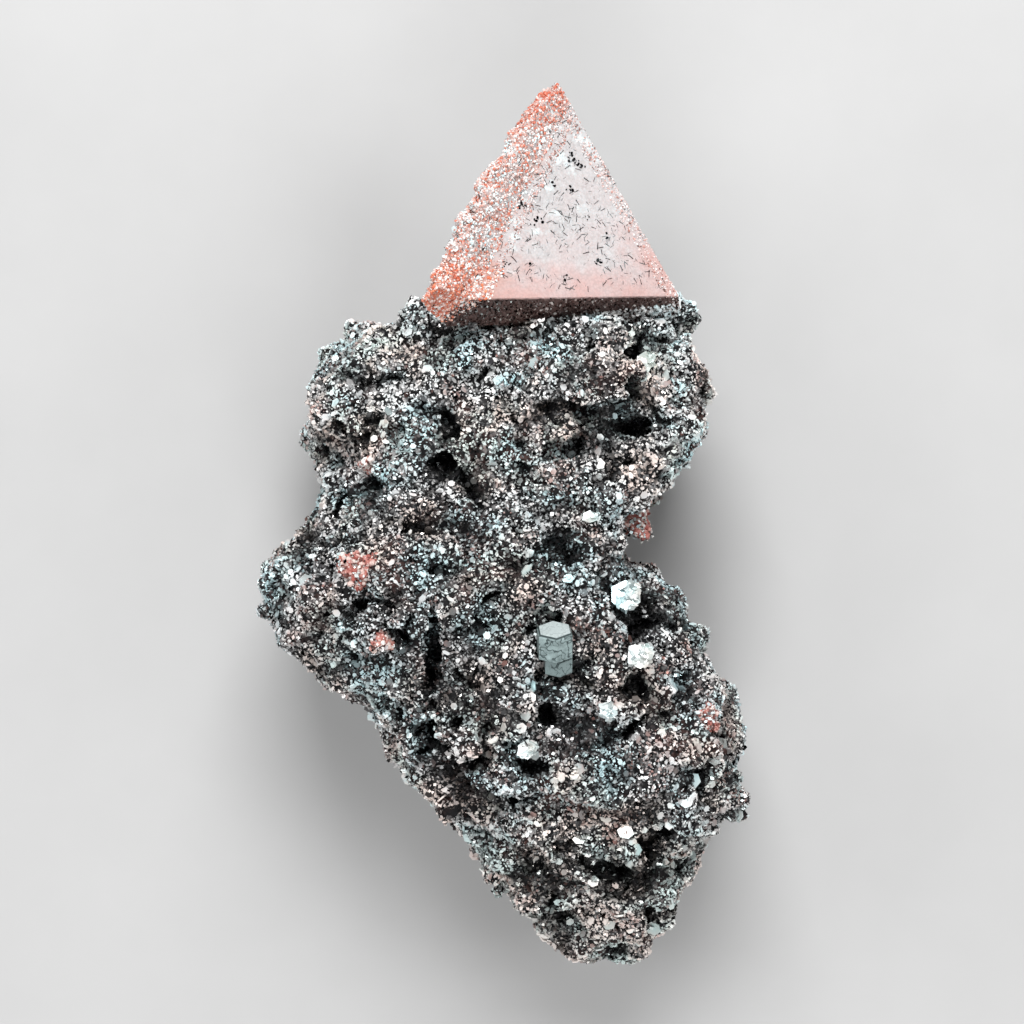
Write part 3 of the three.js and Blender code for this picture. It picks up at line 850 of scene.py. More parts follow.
def shape_of(*meshes: bpy.types.Mesh) -> bmesh.types.BMesh:
    """Starts a shape to work on, from copies of meshes.

    Args:
        *meshes: the meshes.

    Returns:
        The shape.
    """
    shape = bmesh.new()
    for mesh in meshes:
        shape.from_mesh(mesh)
    return shape


def merged_copy(nodes: Mapping[str, bpy.types.Object], names: Sequence[str], title: str) -> bpy.types.Mesh:
    """Copies the meshes of CAD nodes into one mesh and merges their loose triangles.

    Args:
        nodes: the CAD nodes by name.
        names: the nodes to copy.
        title: the new mesh's name.

    Returns:
        The new mesh, without materials.
    """
    shape = shape_of(*(nodes[name].data for name in names))
    bmesh.ops.remove_doubles(shape, verts=shape.verts, dist=WELD * MM)
    return mesh_from(shape, title)


def mesh_from(shape: bmesh.types.BMesh, title: str) -> bpy.types.Mesh:
    """Turns a worked shape into a mesh and frees it.

    Args:
        shape: the shape.
        title: the mesh's name.

    Returns:
        The mesh.
    """
    mesh = bpy.data.meshes.new(title)
    shape.to_mesh(mesh)
    shape.free()
    return mesh


def refine(shape: bmesh.types.BMesh, edge: float, rounds: int) -> None:
    """Splits the long edges of a shape a few times over, and marks its sharp edges.

    Args:
        shape: the shape.
        edge: edges up to this length stay whole, in metres.
        rounds: how many times the longer edges are halved.
    """
    bmesh.ops.dissolve_limit(shape, angle_limit=FLAT_ANGLE, verts=shape.verts, edges=shape.edges)
    bmesh.ops.triangulate(shape, faces=shape.faces)
    for _ in range(rounds):
        long = [e for e in shape.edges if e.calc_length() > edge]
        bmesh.ops.subdivide_edges(shape, edges=long, cuts=1)
        bmesh.ops.triangulate(shape, faces=[f for f in shape.faces if len(f.verts) > 3])
    for e in shape.edges:
        e.smooth = e.calc_face_angle(0.0) < SHARP_ANGLE
    for f in shape.faces:
        f.smooth = True


def carry(mesh: bpy.types.Mesh, name: str, values: Sequence[float]) -> None:
    """Writes a number for each vertex onto a mesh.

    Args:
        mesh: the mesh.
        name: the attribute's name.
        values: one number for each vertex.
    """
    mesh.attributes.new(name, "FLOAT", "POINT").data.foreach_set("value", values)


@dataclass
class GrainLayer:
    """One layer of small crystals scattered over a surface.

    Densities are in grains for each square millimetre. A grain's radius is drawn between the two limits,
    small ones more often. Height is its thickness against its radius, aspect its smallest width against its
    length, and lean the most that it tilts from the surface. Grains grow only above a height, and lift is how
    far they stand off. Clump is how much the density swings from place to place, and the undersides get only
    a share of it.
    """

    name: str
    shape: GrainShape
    density: float
    radius: Span
    height: float
    lean: float
    seed: int
    finish: Finish
    above: float = 0.25
    lift: float = 0.0
    aspect: float = 0.7
    clump: float = 0.0

    clump_size: ClassVar[float] = 1.5
    under: ClassVar[Span] = (-0.55, -0.05)
    under_share: ClassVar[float] = 0.25
    small_bias: ClassVar[float] = 2.2
    _recipes: ClassVar[dict[GrainShape, Recipe]] = {}

    def recipe(self) -> Recipe:
        """Finds the scatter tree for this layer's grain shape, or draws it.

        Returns:
            The recipe.
        """
        if self.shape not in self._recipes:
            self._recipes[self.shape] = self._draw()
        return self._recipes[self.shape]

    def _draw(self) -> Recipe:
        """Draws the scatter tree: points on the surface, and on each a turned, scaled and tinted grain.

        Returns:
            The recipe.
        """
        names = ("Density", "Smallest", "Largest", "Height", "Aspect", "Lean", "Clump", "Above", "Lift")
        recipe = Recipe(f"scatter_{self.shape.value}", names, {"Seed": "NodeSocketInt"})
        graph, given, place = recipe.graph, recipe.given, recipe.place()
        keys = {0: graph.axis(place, "Z"), 1: given["Above"]}
        open_side = graph.node("FunctionNodeCompare", keys, operation="GREATER_THAN").outputs[0]
        sparse, dense = graph.minus(1.0, given["Clump"]), graph.plus(1.0, given["Clump"])
        crowd = graph.band(graph.noise(place, self.clump_size, detail=1.0), 0.4, 0.6, sparse, dense)
        upward = graph.axis(recipe.normal(), "Z")
        crowd = graph.times(crowd, graph.band(upward, *self.under, self.under_share, 1.0))
        points = graph.node("GeometryNodeDistributePointsOnFaces", {
            "Mesh": given["Geometry"], "Selection": open_side,
            "Density": graph.times(given["Density"], crowd), "Seed": given["Seed"]}).outputs
        draw = self.drawer(graph, given["Seed"])
        share = graph.math("POWER", draw(1, 0.0, 1.0), self.small_bias)
        spread = graph.minus(given["Largest"], given["Smallest"])
        radius = graph.math("MULTIPLY_ADD", share, spread, given["Smallest"])
        width = graph.times(radius, draw(2, given["Aspect"], 1.0))
        size = graph.joined(radius, width, graph.times(radius, given["Height"]))
        tilt = [graph.times(draw(step, -1.0, 1.0), given["Lean"]) for step in (3, 4)]
        turn = graph.node("FunctionNodeEulerToRotation", {0: graph.joined(*tilt, draw(5, 0.0, 2 * math.pi))})
        keys = {0: points["Rotation"], 1: turn.outputs[0]}
        facing = graph.node("FunctionNodeRotateRotation", keys, rotation_space="LOCAL").outputs[0]
        raised = graph.moved(points["Points"], graph.scaled(points["Normal"], given["Lift"]))
        grains = graph.node("GeometryNodeInstanceOnPoints", {
            "Points": raised, "Instance": self._grain(graph), "Rotation": facing, "Scale": size}).outputs[0]
        recipe.close(self.tinted(graph, grains, draw))
        return recipe

    @staticmethod
    def tinted(graph: Graph, grains: bpy.types.NodeSocket, draw: Draw) -> bpy.types.NodeSocket:
        """Gives each grain a tint and a gloss of its own.

        Args:
            graph: the graph that the grains are drawn in.
            grains: the grains, as instances.
            draw: the function that adds random numbers.

        Returns:
            The grains.
        """
        for step, name in ((6, "tint"), (7, "gloss")):
            grains = graph.store(grains, name, draw(step, 0.0, 1.0), "INSTANCE")
        return grains

    @staticmethod
    def drawer(graph: Graph, seed: bpy.types.NodeSocket) -> Draw:
        """Makes a function that adds random numbers, each with its own seed.

        Args:
            graph: the graph to add them to.
            seed: the layer's seed.

        Returns:
            A function of a step, a lowest and a highest value that gives the random number's socket.
        """
        def draw(step: int, low: Value, high: Value) -> bpy.types.NodeSocket:
            """Adds one random number."""
            made = graph.node("FunctionNodeRandomValue", {2: low, 3: high}, data_type="FLOAT")
            graph.feed(graph.inlet(made, "Seed"), graph.plus(seed, 100.0 * step))
            return made.outputs[1]
        return draw

    def _grain(self, graph: Graph) -> bpy.types.NodeSocket:
        """Adds one grain of radius 1, with flat faces.

        Args:
            graph: the graph to add it to.

        Returns:
            The grain's mesh.
        """
        if self.shape in (GrainShape.FLAKE, GrainShape.PLATE):
            sides = 4 if self.shape is GrainShape.FLAKE else 6
            mesh = graph.node("GeometryNodeMeshCone", {
                "Vertices": sides, "Radius Top": 1.0, "Radius Bottom": 0.0, "Depth": 1.0}).outputs[0]
        elif self.shape is GrainShape.TABLET:
            mesh = graph.tablet()
        elif self.shape is GrainShape.CRUMB:
            mesh = graph.node("GeometryNodeMeshIcoSphere", {"Radius": 1.0, "Subdivisions": 1}).outputs[0]
        else:
            mesh = graph.node("GeometryNodeMeshCube", {"Size": (2.0, 0.2, 1.0)}).outputs[0]
        return graph.faceted(mesh)

    def grow(self, surface: bpy.types.Mesh) -> bpy.types.Object:
        """Scatters the layer over a surface.

        Args:
            surface: the mesh that the grains grow on. It isn't part of the result.

        Returns:
            The grains as one piece.
        """
        piece = piece_from(self.name, surface.copy())
        return self.recipe().run(piece, {
            "Density": self.density / MM ** 2, "Smallest": self.radius[0] * MM,
            "Largest": self.radius[1] * MM, "Height": self.height, "Aspect": self.aspect,
            "Lean": math.radians(self.lean), "Above": self.above * MM, "Clump": self.clump,
            "Lift": self.lift * MM, "Seed": self.seed, "Material": self.finish.material()})


def seated(name: str, places: Sequence[Place], surface: bpy.types.Mesh, radius: Span, height: float,
           seed: int, finish: Finish) -> bpy.types.Object:
    """Seats single tablets on a surface, at places seen from the front.

    Args:
        name: the piece's name.
        places: the tablets' x and y, in millimetres.
        surface: the mesh that they lie on.
        radius: the smallest and the largest radius, in millimetres.
        height: a tablet's thickness against its radius.
        seed: the seed of their sizes and turns.
        finish: their finish.

    Returns:
        The tablets as one piece.
    """
    faces = [tuple(f.vertices) for f in surface.polygons]
    tree = BVHTree.FromPolygons([v.co for v in surface.vertices], faces)
    hits = [tree.ray_cast(Vector((x * MM, y * MM, 0.1)), Vector((0, 0, -1)))[0] for x, y in places]
    mesh = bpy.data.meshes.new(name)
    mesh.from_pydata([hit for hit in hits if hit], [], [])
    recipe = Recipe("seat_tablets", ("Smallest", "Largest", "Height"), {"Seed": "NodeSocketInt"})
    graph, given = recipe.graph, recipe.given
    draw = GrainLayer.drawer(graph, given["Seed"])
    reach = draw(1, given["Smallest"], given["Largest"])
    size = graph.joined(reach, graph.times(reach, draw(2, *SEAT_SHAPE)), graph.times(reach, given["Height"]))
    turn = graph.joined(*(draw(step, *ends) for step, ends in enumerate(SEAT_TURNS, 3)))
    facing = graph.node("FunctionNodeEulerToRotation", {0: turn}).outputs[0]
    made = graph.node("GeometryNodeInstanceOnPoints", {
        "Points": given["Geometry"], "Instance": graph.faceted(graph.tablet()), "Rotation": facing,
        "Scale": size}).outputs[0]
    recipe.close(GrainLayer.tinted(graph, made, draw))
    return recipe.run(piece_from(name, mesh), {
        "Smallest": radius[0] * MM, "Largest": radius[1] * MM, "Height": height, "Seed": seed,
        "Material": finish.material()})


@dataclass(frozen=True)
class Crevice:
    """A dark crevice in the front of the matrix, from one place to another."""

    start: Place
    end: Place
    width: float
    depth: float
    wander: float = 2.6
    wander_size: float = 1.4

    def carve(self, graph: Graph, place: bpy.types.NodeSocket) -> bpy.types.NodeSocket:
        """Adds the crevice's depth below a surface point.

        Args:
            graph: the graph to add it to.
            place: the surface point.

        Returns:
            How deep the crevice is there, in metres.
        """
        start = Vector((*self.start, 0.0)) * MM
        run = Vector((*self.end, 0.0)) * MM - start
        sway = graph.times(graph.swing(place, self.wander_size), self.wander * MM)
        flat = graph.vector("MULTIPLY", graph.vector("ADD", place, sway), (1.0, 1.0, 0.0))
        reach = graph.vector("SUBTRACT", flat, tuple(start))
        keys = {0: reach, 1: tuple(run / run.length_squared)}
        along = graph.node("ShaderNodeVectorMath", keys, operation="DOT_PRODUCT")
        share = graph.node("ShaderNodeClamp", {"Value": along.outputs["Value"]}).outputs[0]
        aside = graph.vector("SUBTRACT", reach, graph.scaled(tuple(run), share))
        gap = graph.node("ShaderNodeVectorMath", {0: aside}, operation="LENGTH").outputs["Value"]
        return graph.band(gap, self.width * MM, 0.0, 0.0, self.depth * MM)


@dataclass
class HematiteMatrix:
    """The lump of hematite plates: a rough dark ground, and layers of plates grown over it."""

    node: str = "matrix"
    slot: str = "matrix"
    voxel: float = 0.27
    smoothing: int = 4
    broad: Span = (5.5, 0.9)
    lumps: Span = (2.3, 1.15)
    grains: Span = (0.85, 0.4)
    pits: Span = (2.4, 1.1)
    flat_back: float = 0.6
    crevices: tuple[Crevice, ...] = (
        Crevice((-4.6, -5.9), (-4.9, -13.4), 0.6, 1.2), Crevice((-9.5, -4.4), (-7.3, -4.9), 0.75, 1.1),
        Crevice((-1.5, -12.1), (-1.2, -14.4), 0.75, 1.1), Crevice((-11.0, 1.3), (-10.3, 2.2), 0.55, 1.0),
        Crevice((-0.1, 9.0), (0.6, 7.0), 0.5, 0.9),
    )
    seated: tuple[str, ...] = (*ROSETTE_NODES, *SMALL_ZUNYITE_NODES)
    seat_depth: float = 0.4
    # How far the ground sinks before its painted hollow shade is full, in millimetres.
    hollow_shade_depth: float = 0.8
    foot_below: float = -9.0
    ground_finish: Finish = field(default_factory=GroundFinish)
    plate_finish: Finish = field(default_factory=PlateFinish)

    def layers(self) -> list[GrainLayer]:
        """Lists the layers of plates, from the finest to the coarsest.

        Returns:
            The layers.
        """
        fine = [GrainLayer(f"fine_flakes_{i}", GrainShape.FLAKE, density=7.0, radius=(0.08, 0.19), height=0.7,
                           lean=70, seed=11 + i, finish=self.plate_finish, aspect=0.35) for i in range(1, 5)]
        medium = GrainLayer("medium_plates", GrainShape.PLATE, density=1.8, radius=(0.13, 0.3), height=0.6,
                            lean=60, seed=41, finish=self.plate_finish, aspect=0.5)
        coarse = GrainLayer("coarse_tablets", GrainShape.TABLET, density=0.22, radius=(0.18, 0.45),
                            height=0.3, lean=65, seed=51, finish=self.plate_finish)
        return [*fine, medium, coarse]

    def ground(self, nodes: Mapping[str, bpy.types.Object]) -> bpy.types.Object:
        """Makes the rough ground from the CAD solid.

        Args:
            nodes: the CAD nodes by name.

        Returns:
            The ground as a piece.
        """
        solid = merged_copy(nodes, [self.node], "matrix_ground")
        seats = merged_copy(nodes, self.seated, "matrix_seats")
        seats.transform(Matrix.Translation((0, 0, -self.seat_depth * MM)))
        piece = piece_from("matrix_ground", mesh_from(shape_of(solid, seats), "matrix_ground"))
        remesh = piece.modifiers.new("voxels", "REMESH")
        remesh.mode = "VOXEL"
        remesh.voxel_size = self.voxel * MM
        smooth = piece.modifiers.new("soften", "SMOOTH")
        smooth.factor = 0.5
        smooth.iterations = self.smoothing
        flatten(piece)
        return self.relief().run(piece, {
            "Broad Height": self.broad[1] * MM, "Lump Height": self.lumps[1] * MM,
            "Grain Height": self.grains[1] * MM, "Pit Depth": self.pits[1] * MM,
            "Flat Back": self.flat_back * MM, "Material": self.ground_finish.material()})

    def relief(self) -> Recipe:
        """Draws the tree that roughens the ground: swells, lumps and grains, less its pits and crevices.

        Returns:
            The recipe.
        """
        names = ("Broad Height", "Lump Height", "Grain Height", "Pit Depth", "Flat Back")
        recipe = Recipe("matrix_relief", names)
        graph, given, place, normal = recipe.graph, recipe.given, recipe.place(), recipe.normal()
        swell = graph.times(graph.swing(place, self.broad[0]), 2.0)
        height = graph.times(swell, given["Broad Height"])
        for size, name in ((self.lumps[0], "Lump Height"), (self.grains[0], "Grain Height")):
            bump = graph.minus(0.45, graph.cells(place, size).outputs["Distance"])
            height = graph.math("MULTIPLY_ADD", bump, given[name], height)
        pit = graph.band(graph.noise(place, self.pits[0]), 0.46, 0.33)
        height = graph.minus(height, graph.times(pit, given["Pit Depth"]))
        front = graph.band(graph.axis(normal, "Z"), 0.0, 0.3)
        for crevice in self.crevices:
            height = graph.minus(height, graph.times(crevice.carve(graph, place), front))
        height = graph.times(height, graph.band(graph.axis(place, "Z"), 0.0, given["Flat Back"]))
        # Mask of painted shade: the lower the ground sinks, the darker its finishes paint it.
        hollow_shade = graph.band(height, 0.0, -self.hollow_shade_depth * MM)
        marked = graph.store(given["Geometry"], "hollow_shade", hollow_shade, "POINT")
        moved = graph.moved(marked, graph.scaled(normal, height))
        recipe.close(moved)
        return recipe

    def build(self, nodes: Mapping[str, bpy.types.Object]) -> bpy.types.Object:
        """Builds the ground and its plates, and sets them on the frame.

        Args:
            nodes: the CAD nodes by name.

        Returns:
            The ground, which other pieces can be seated on.
        """
        ground = self.ground(nodes)
        report(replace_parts(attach(ground, ROOT), self.node))
        for layer in self.layers():
            report(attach(layer.grow(ground.data), ROOT))
        foot = GrainLayer("foot_tablets", GrainShape.TABLET, density=0.9, radius=(0.16, 0.42), height=0.3,
                          lean=55, seed=52, finish=self.plate_finish, aspect=0.5)
        report(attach(foot.grow(self.foot(ground.data)), ROOT))
        return ground

    def foot(self, ground: bpy.types.Mesh) -> bpy.types.Mesh:
        """Copies the lower part of the ground, where the plates are larger.

        Args:
            ground: the ground's mesh.

        Returns:
            The lower part.
        """
        shape = shape_of(ground)
        upper = [v for v in shape.verts if v.co.y > self.foot_below * MM]
        bmesh.ops.delete(shape, geom=upper, context="VERTS")
        return mesh_from(shape, "matrix_foot")


@dataclass(frozen=True)
class Near:
    """How far a point of the large crystal is from four of its faces, in millimetres."""

    left: float
    lower: float
    right: float
    front: float


@dataclass
class ZunyiteCrystal:
    """The large crystal: a tetrahedron with edges cut back by cube faces, a crust and dark needles."""

    node: str = "zunyite_crystal"
    slot: str = "zunyite"
    edge: float = 20.0
    turn: float = 21.0
    roll: float = 2.0
    left_bevel: float = 6.35
    right_bevel: float = 6.55
    tip_bevel: float = 6.1
    lower_bevel: float = 5.1
    lower_back_bevel: float = 6.2
    right_back_bevel: float = 6.4
    facet_edge: float = 0.3
    facet_rounds: int = 7
    # Limits of the underside that gets painted shade, in millimetres: least distance from the left bevel,
    # most from the lower bevel, least from the front.
    underside_shade: Point = (0.7, 0.15, 0.12)
    crust_height: float = 1.75
    crust_width: float = 0.7
    lump_size: float = 1.1
    crust_tip: Span = (11.4, 8.5)
    crust_belly: Span = (9.0, 4.5)
    step_height: float = 0.07
    step_size: float = 0.9
    spots: tuple[Place, ...] = (
        (4.55, 23.95), (4.75, 23.75), (4.3, 24.05), (4.85, 23.6), (4.15, 24.2), (0.9, 21.2), (1.05, 20.95),
        (0.85, 21.0), (1.9, 20.0), (2.1, 20.05), (1.75, 19.95), (-1.4, 18.1), (-0.1, 17.3), (0.05, 17.15),
        (5.85, 17.6), (5.95, 17.45), (3.2, 22.3), (5.2, 20.4), (6.6, 19.2), (1.6, 17.0), (3.9, 16.4),
        (2.9, 25.6), (4.0, 22.1),
    )
    spot_radius: Span = (0.04, 0.12)
    spot_flecks: int = 4
    spot_spread: float = 0.11
    spot_seed: int = 5
    glints: tuple[Place, ...] = (
        (2.0, 25.4), (2.3, 25.2), (1.8, 25.1), (2.1, 24.8), (1.3, 23.4), (1.6, 23.2), (1.0, 23.1),
        (0.6, 22.3), (-0.9, 22.6), (-1.6, 21.9), (-3.3, 19.3), (-3.4, 18.6), (-3.2, 18.0), (-2.6, 16.9),
        (-1.0, 20.6), (-1.9, 16.3),
    )
    glint_radius: Span = (0.1, 0.26)
    finish: Finish = field(default_factory=ZunyiteFinish)
    crumb_finish: Finish = field(default_factory=CrumbFinish)
    crust_finish: Finish = field(default_factory=CrustFinish)
    needle_finish: Finish = field(default_factory=lambda: PlateFinish(
        name="dark_needles", stops=(
            (0.0, (0.004, 0.004, 0.005)), (0.5, (0.015, 0.015, 0.016)), (1.0, (0.2, 0.21, 0.215))),
        black_below=0.5, bright_gain=0.0, rust=(0.03, 0.02, 0.02), metallic=0.3, smooth=0.4, rough=0.6))
    # Rim grains from pink to white; the dark end of the ramp paints the shade between the grains.
    rim_finish: Finish = field(default_factory=lambda: CrumbFinish(name="rim_crumbs", stops=(
        (0.0, (0.14, 0.08, 0.07)), (0.2, (0.62, 0.32, 0.27)), (0.5, (0.76, 0.6, 0.57)),
        (1.0, (0.86, 0.87, 0.87)))))
    glint_finish: Finish = field(default_factory=lambda: CrumbFinish(name="pale_glints", stops=(
        (0.0, (0.86, 0.9, 0.9)), (0.6, (0.74, 0.91, 0.94)), (1.0, (0.66, 0.89, 0.94)))))
    spot_finish: Finish = field(default_factory=lambda: PlateFinish(
        name="dark_spots", stops=(
            (0.0, (0.003, 0.003, 0.004)), (0.8, (0.008, 0.008, 0.009)), (1.0, (0.05, 0.05, 0.052))),
        black_below=0.8, bright_gain=0.0, rust=(0.012, 0.01, 0.01), metallic=0.6, smooth=0.3, rough=0.6))
    ember_finish: Finish = field(default_factory=lambda: CrumbFinish(name="ember_crumbs", stops=(
        (0.0, (0.66, 0.13, 0.055)), (0.3, (0.88, 0.3, 0.16)), (0.5, (0.93, 0.62, 0.52)),
        (0.75, (0.95, 0.9, 0.87)), (1.0, (0.95, 0.94, 0.92)))))
    # Dark plates on the downward-facing lower bevel: their dark colours paint its shade, with a few pale
    # streaks.
    band_finish: Finish = field(default_factory=lambda: PlateFinish(
        name="underside_shade_plates", stops=(
            (0.0, (0.005, 0.003, 0.003)), (0.5, (0.07, 0.038, 0.034)), (0.8, (0.2, 0.14, 0.13)),
            (1.0, (0.8, 0.75, 0.72))),
        black_below=0.2, bright_gain=0.0, rust=(0.06, 0.03, 0.026), metallic=0.0))

    def distances(self) -> dict[Facet, float]:
        """Gives each face's distance from the crystal's middle.

        Returns:
            Distances by face.
        """
        flat = self.edge / (2 * math.sqrt(6))
        return {
            Facet.FRONT: flat, Facet.LEFT_BACK: flat, Facet.RIGHT_BACK: flat, Facet.FOOT: flat,
            Facet.LEFT_BEVEL: self.left_bevel, Facet.RIGHT_BEVEL: self.right_bevel,
            Facet.TIP_BEVEL: self.tip_bevel, Facet.LOWER_BEVEL: self.lower_bevel,
            Facet.LOWER_BACK_BEVEL: self.lower_back_bevel, Facet.RIGHT_BACK_BEVEL: self.right_back_bevel,
        }

    def pose(self) -> Matrix:
        """Turns the crystal's own axes into the frame's.

        Returns:
            The rotation.
        """
        face = Vector(Facet.FRONT.value).normalized()
        tip = Vector((1, 1, 1))
        up = (tip - face * tip.dot(face)).normalized()
        upright = Matrix((up.cross(face), up, face)).to_4x4()
        turn = Matrix.Rotation(math.radians(self.turn), 4, "Y")
        return Matrix.Rotation(math.radians(self.roll), 4, "Z") @ turn @ upright

    def planes(self) -> dict[Facet, tuple[Vector, float]]:
        """Gives each face's outward direction in the frame and its distance from the middle.

        Returns:
            Directions and distances in metres, by face.
        """
        pose = self.pose()
        return {facet: ((pose @ Vector(facet.value)).normalized(), distance * MM)
                for facet, distance in self.distances().items()}

    def corners(self) -> list[Vector]:
        """Finds the crystal's corners about its middle: where three faces meet and no other cuts them off.

        Returns:
            The corners, in metres.
        """
        faces = list(self.planes().values())
        found = []
        for i, (a, da) in enumerate(faces):
            for j, (b, db) in enumerate(faces[i + 1:], i + 1):
                for c, dc in faces[j + 1:]:
                    spread = a.dot(b.cross(c))
                    if abs(spread) < 1e-6:
                        continue
                    corner = (b.cross(c) * da + c.cross(a) * db + a.cross(b) * dc) / spread
                    if all(corner.dot(n) < d + 1e-9 for n, d in faces):
                        found.append(corner)
        return found

    def middle(self, corners: Sequence[Vector]) -> Vector:
        """Finds the crystal's middle from the corners of the CAD node's box that its crust doesn't reach.

        Args:
            corners: the crystal's corners about its middle.

        Returns:
            The middle, in metres.
        """
        low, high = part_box(self.node)
        right, top = max(c.x for c in corners), max(c.y for c in corners)
        return Vector((high.x - right, high.y - top, low.z - min(c.z for c in corners)))

    def body(self) -> bpy.types.Object:
        """Makes the faceted body, with its distances from the bevels on each vertex.

        Returns:
            The body as a piece.
        """
        shape = bmesh.new()
        for corner in self.corners():
            shape.verts.new(corner)
        bmesh.ops.remove_doubles(shape, verts=shape.verts, dist=CORNER_WELD * MM)
        bmesh.ops.convex_hull(shape, input=shape.verts)
        refine(shape, self.facet_edge * MM, self.facet_rounds)
        points = [v.co.copy() for v in shape.verts]
        bmesh.ops.translate(shape, verts=shape.verts, vec=self.middle(points))
        mesh = mesh_from(shape, "zunyite_body")
        planes = self.planes()
        sides = {"left": Facet.LEFT_BEVEL, "lower": Facet.LOWER_BEVEL, "right": Facet.RIGHT_BEVEL,
                 "front": Facet.FRONT}
        away = {}
        for side, facet in sides.items():
            normal, distance = planes[facet]
            away[side] = [distance - p.dot(normal) for p in points]
            carry(mesh, f"from_{side}", [d / MM for d in away[side]])
        # Mask of the downward-facing underside, where the finish paints shade.
        left, lower, front = (end * MM for end in self.underside_shade)
        under = [float(a > left and b < lower and c > front)
                 for a, b, c in zip(away["left"], away["lower"], away["front"])]
        carry(mesh, "underside_shade", under)
        return piece_from("zunyite_body", mesh)

    def relief(self) -> Recipe:
        """Draws the tree that roughens the faces and swells the crust on the left bevel.

        Returns:
            The recipe.
        """
        names = ("Crust Height", "Crust Width")
        recipe = Recipe("zunyite_relief", names, {"Crust Direction": "NodeSocketVector"})
        graph, given, place = recipe.graph, recipe.given, recipe.place()
        crust = graph.band(graph.carried("from_left"), given["Crust Width"], 0.0)
        lumpy = graph.noise(place, self.lump_size, detail=3.0, rough=0.6)
        bumps = graph.band(lumpy, 0.3, 0.7, start=0.65, end=1.1)
        below = graph.carried("from_lower")
        tip = graph.band(below, *self.crust_tip, start=0.3)
        belly = graph.times(tip, graph.band(below, *self.crust_belly, start=0.85, end=1.3))
        swell = graph.times(graph.times(crust, bumps), given["Crust Height"])
        outward = graph.scaled(given["Crust Direction"], graph.times(swell, belly))
        steps = graph.times(graph.swing(place, self.step_size, detail=3.0), self.step_height * MM)
        offset = graph.vector("ADD", outward, graph.scaled(recipe.normal(), steps))
        moved = graph.moved(given["Geometry"], offset)
        recipe.close(moved)
        return recipe

    @staticmethod
    def zone(body: bpy.types.Mesh, title: str, keep: Callable[[Near], bool]) -> bpy.types.Mesh:
        """Copies a part of the body's surface to grow grains on.

        Args:
            body: the body's mesh.
            title: the new mesh's name.
            keep: a test of how near a vertex is to the faces.

        Returns:
            The part of the surface.
        """
        sides = [body.attributes[f"from_{side.name}"].data for side in fields(Near)]
        shape = shape_of(body)
        gone = [v for v in shape.verts if not keep(Near(*(side[v.index].value for side in sides)))]
        bmesh.ops.delete(shape, geom=gone, context="VERTS")
        return mesh_from(shape, title)

    @staticmethod
    def zones() -> dict[str, Callable[[Near], bool]]:
        """Lists the parts of the surface that grains grow on.

        Returns:
            Tests of how near a vertex is to the faces, by the name of the zone.
        """
        return {
            "crust": lambda near: near.left < 1.0,
            "ember": lambda near: near.left < 1.8 and -0.5 < near.lower < 1.7,
            "band": lambda near: near.left > 1.0 and near.lower < 0.1 and near.front > 0.1,
            "rim": lambda near: near.right < 0.8 or 0.9 < near.left < 1.6,
            "shelf": lambda near: (near.lower < 0.3 and near.right < 9
                                   and 0.5 + 0.16 * near.right < near.front < 3.4),
            "face": lambda near: near.front < 0.12 and near.left > 0.5 and near.lower > 0.3,
            "back": lambda near: near.front > 0.3 and near.left > 0.6 and near.lower > 0.3,
        }

    def layers(self) -> list[tuple[GrainLayer, str]]:
        """Lists the layers of grains.

        Returns:
            The layers, each with the name of the zone that it grows on.
        """
        crumb, needle, plate = GrainShape.CRUMB, GrainShape.NEEDLE, GrainShape.PLATE
        return [
            (GrainLayer("back_needles", needle, density=2.5, radius=(0.05, 0.28), height=0.25, lean=6,
                        seed=68, finish=self.needle_finish, clump=0.8), "back"),
            (GrainLayer("back_crumbs", crumb, density=3.0, radius=(0.05, 0.15), height=0.8, lean=90, seed=69,
                        finish=self.crumb_finish, clump=0.9), "back"),
            (GrainLayer("crust_crumbs", crumb, density=58, radius=(0.045, 0.14), height=1.0, lean=90, seed=61,
                        finish=self.crust_finish, aspect=0.4), "crust"),
            (GrainLayer("crust_needles", needle, density=12, radius=(0.03, 0.13), height=0.25, lean=25,
                        seed=70, finish=self.needle_finish, lift=0.07, clump=0.7), "crust"),
            (GrainLayer("ember_crumbs", crumb, density=34, radius=(0.05, 0.14), height=1.0, lean=90, seed=66,
                        finish=self.ember_finish, aspect=0.4), "ember"),
            # Their dark colours paint the shade on the lower bevel.
            (GrainLayer("band_plates", plate, density=45, radius=(0.05, 0.14), height=0.8, lean=60, seed=67,
                        finish=self.band_finish, aspect=0.4), "band"),
            (GrainLayer("rim_crumbs", crumb, density=52, radius=(0.04, 0.11), height=0.9, lean=90, seed=62,
                        finish=self.rim_finish, aspect=0.4, clump=0.4), "rim"),
            (GrainLayer("shelf_plates", plate, density=55, radius=(0.07, 0.18), height=0.8, lean=60, seed=64,
                        finish=PlateFinish()), "shelf"),
            (GrainLayer("face_needles", needle, density=9.0, radius=(0.03, 0.22), height=0.25, lean=6,
                        seed=63, finish=self.needle_finish, clump=0.75), "face"),
        ]

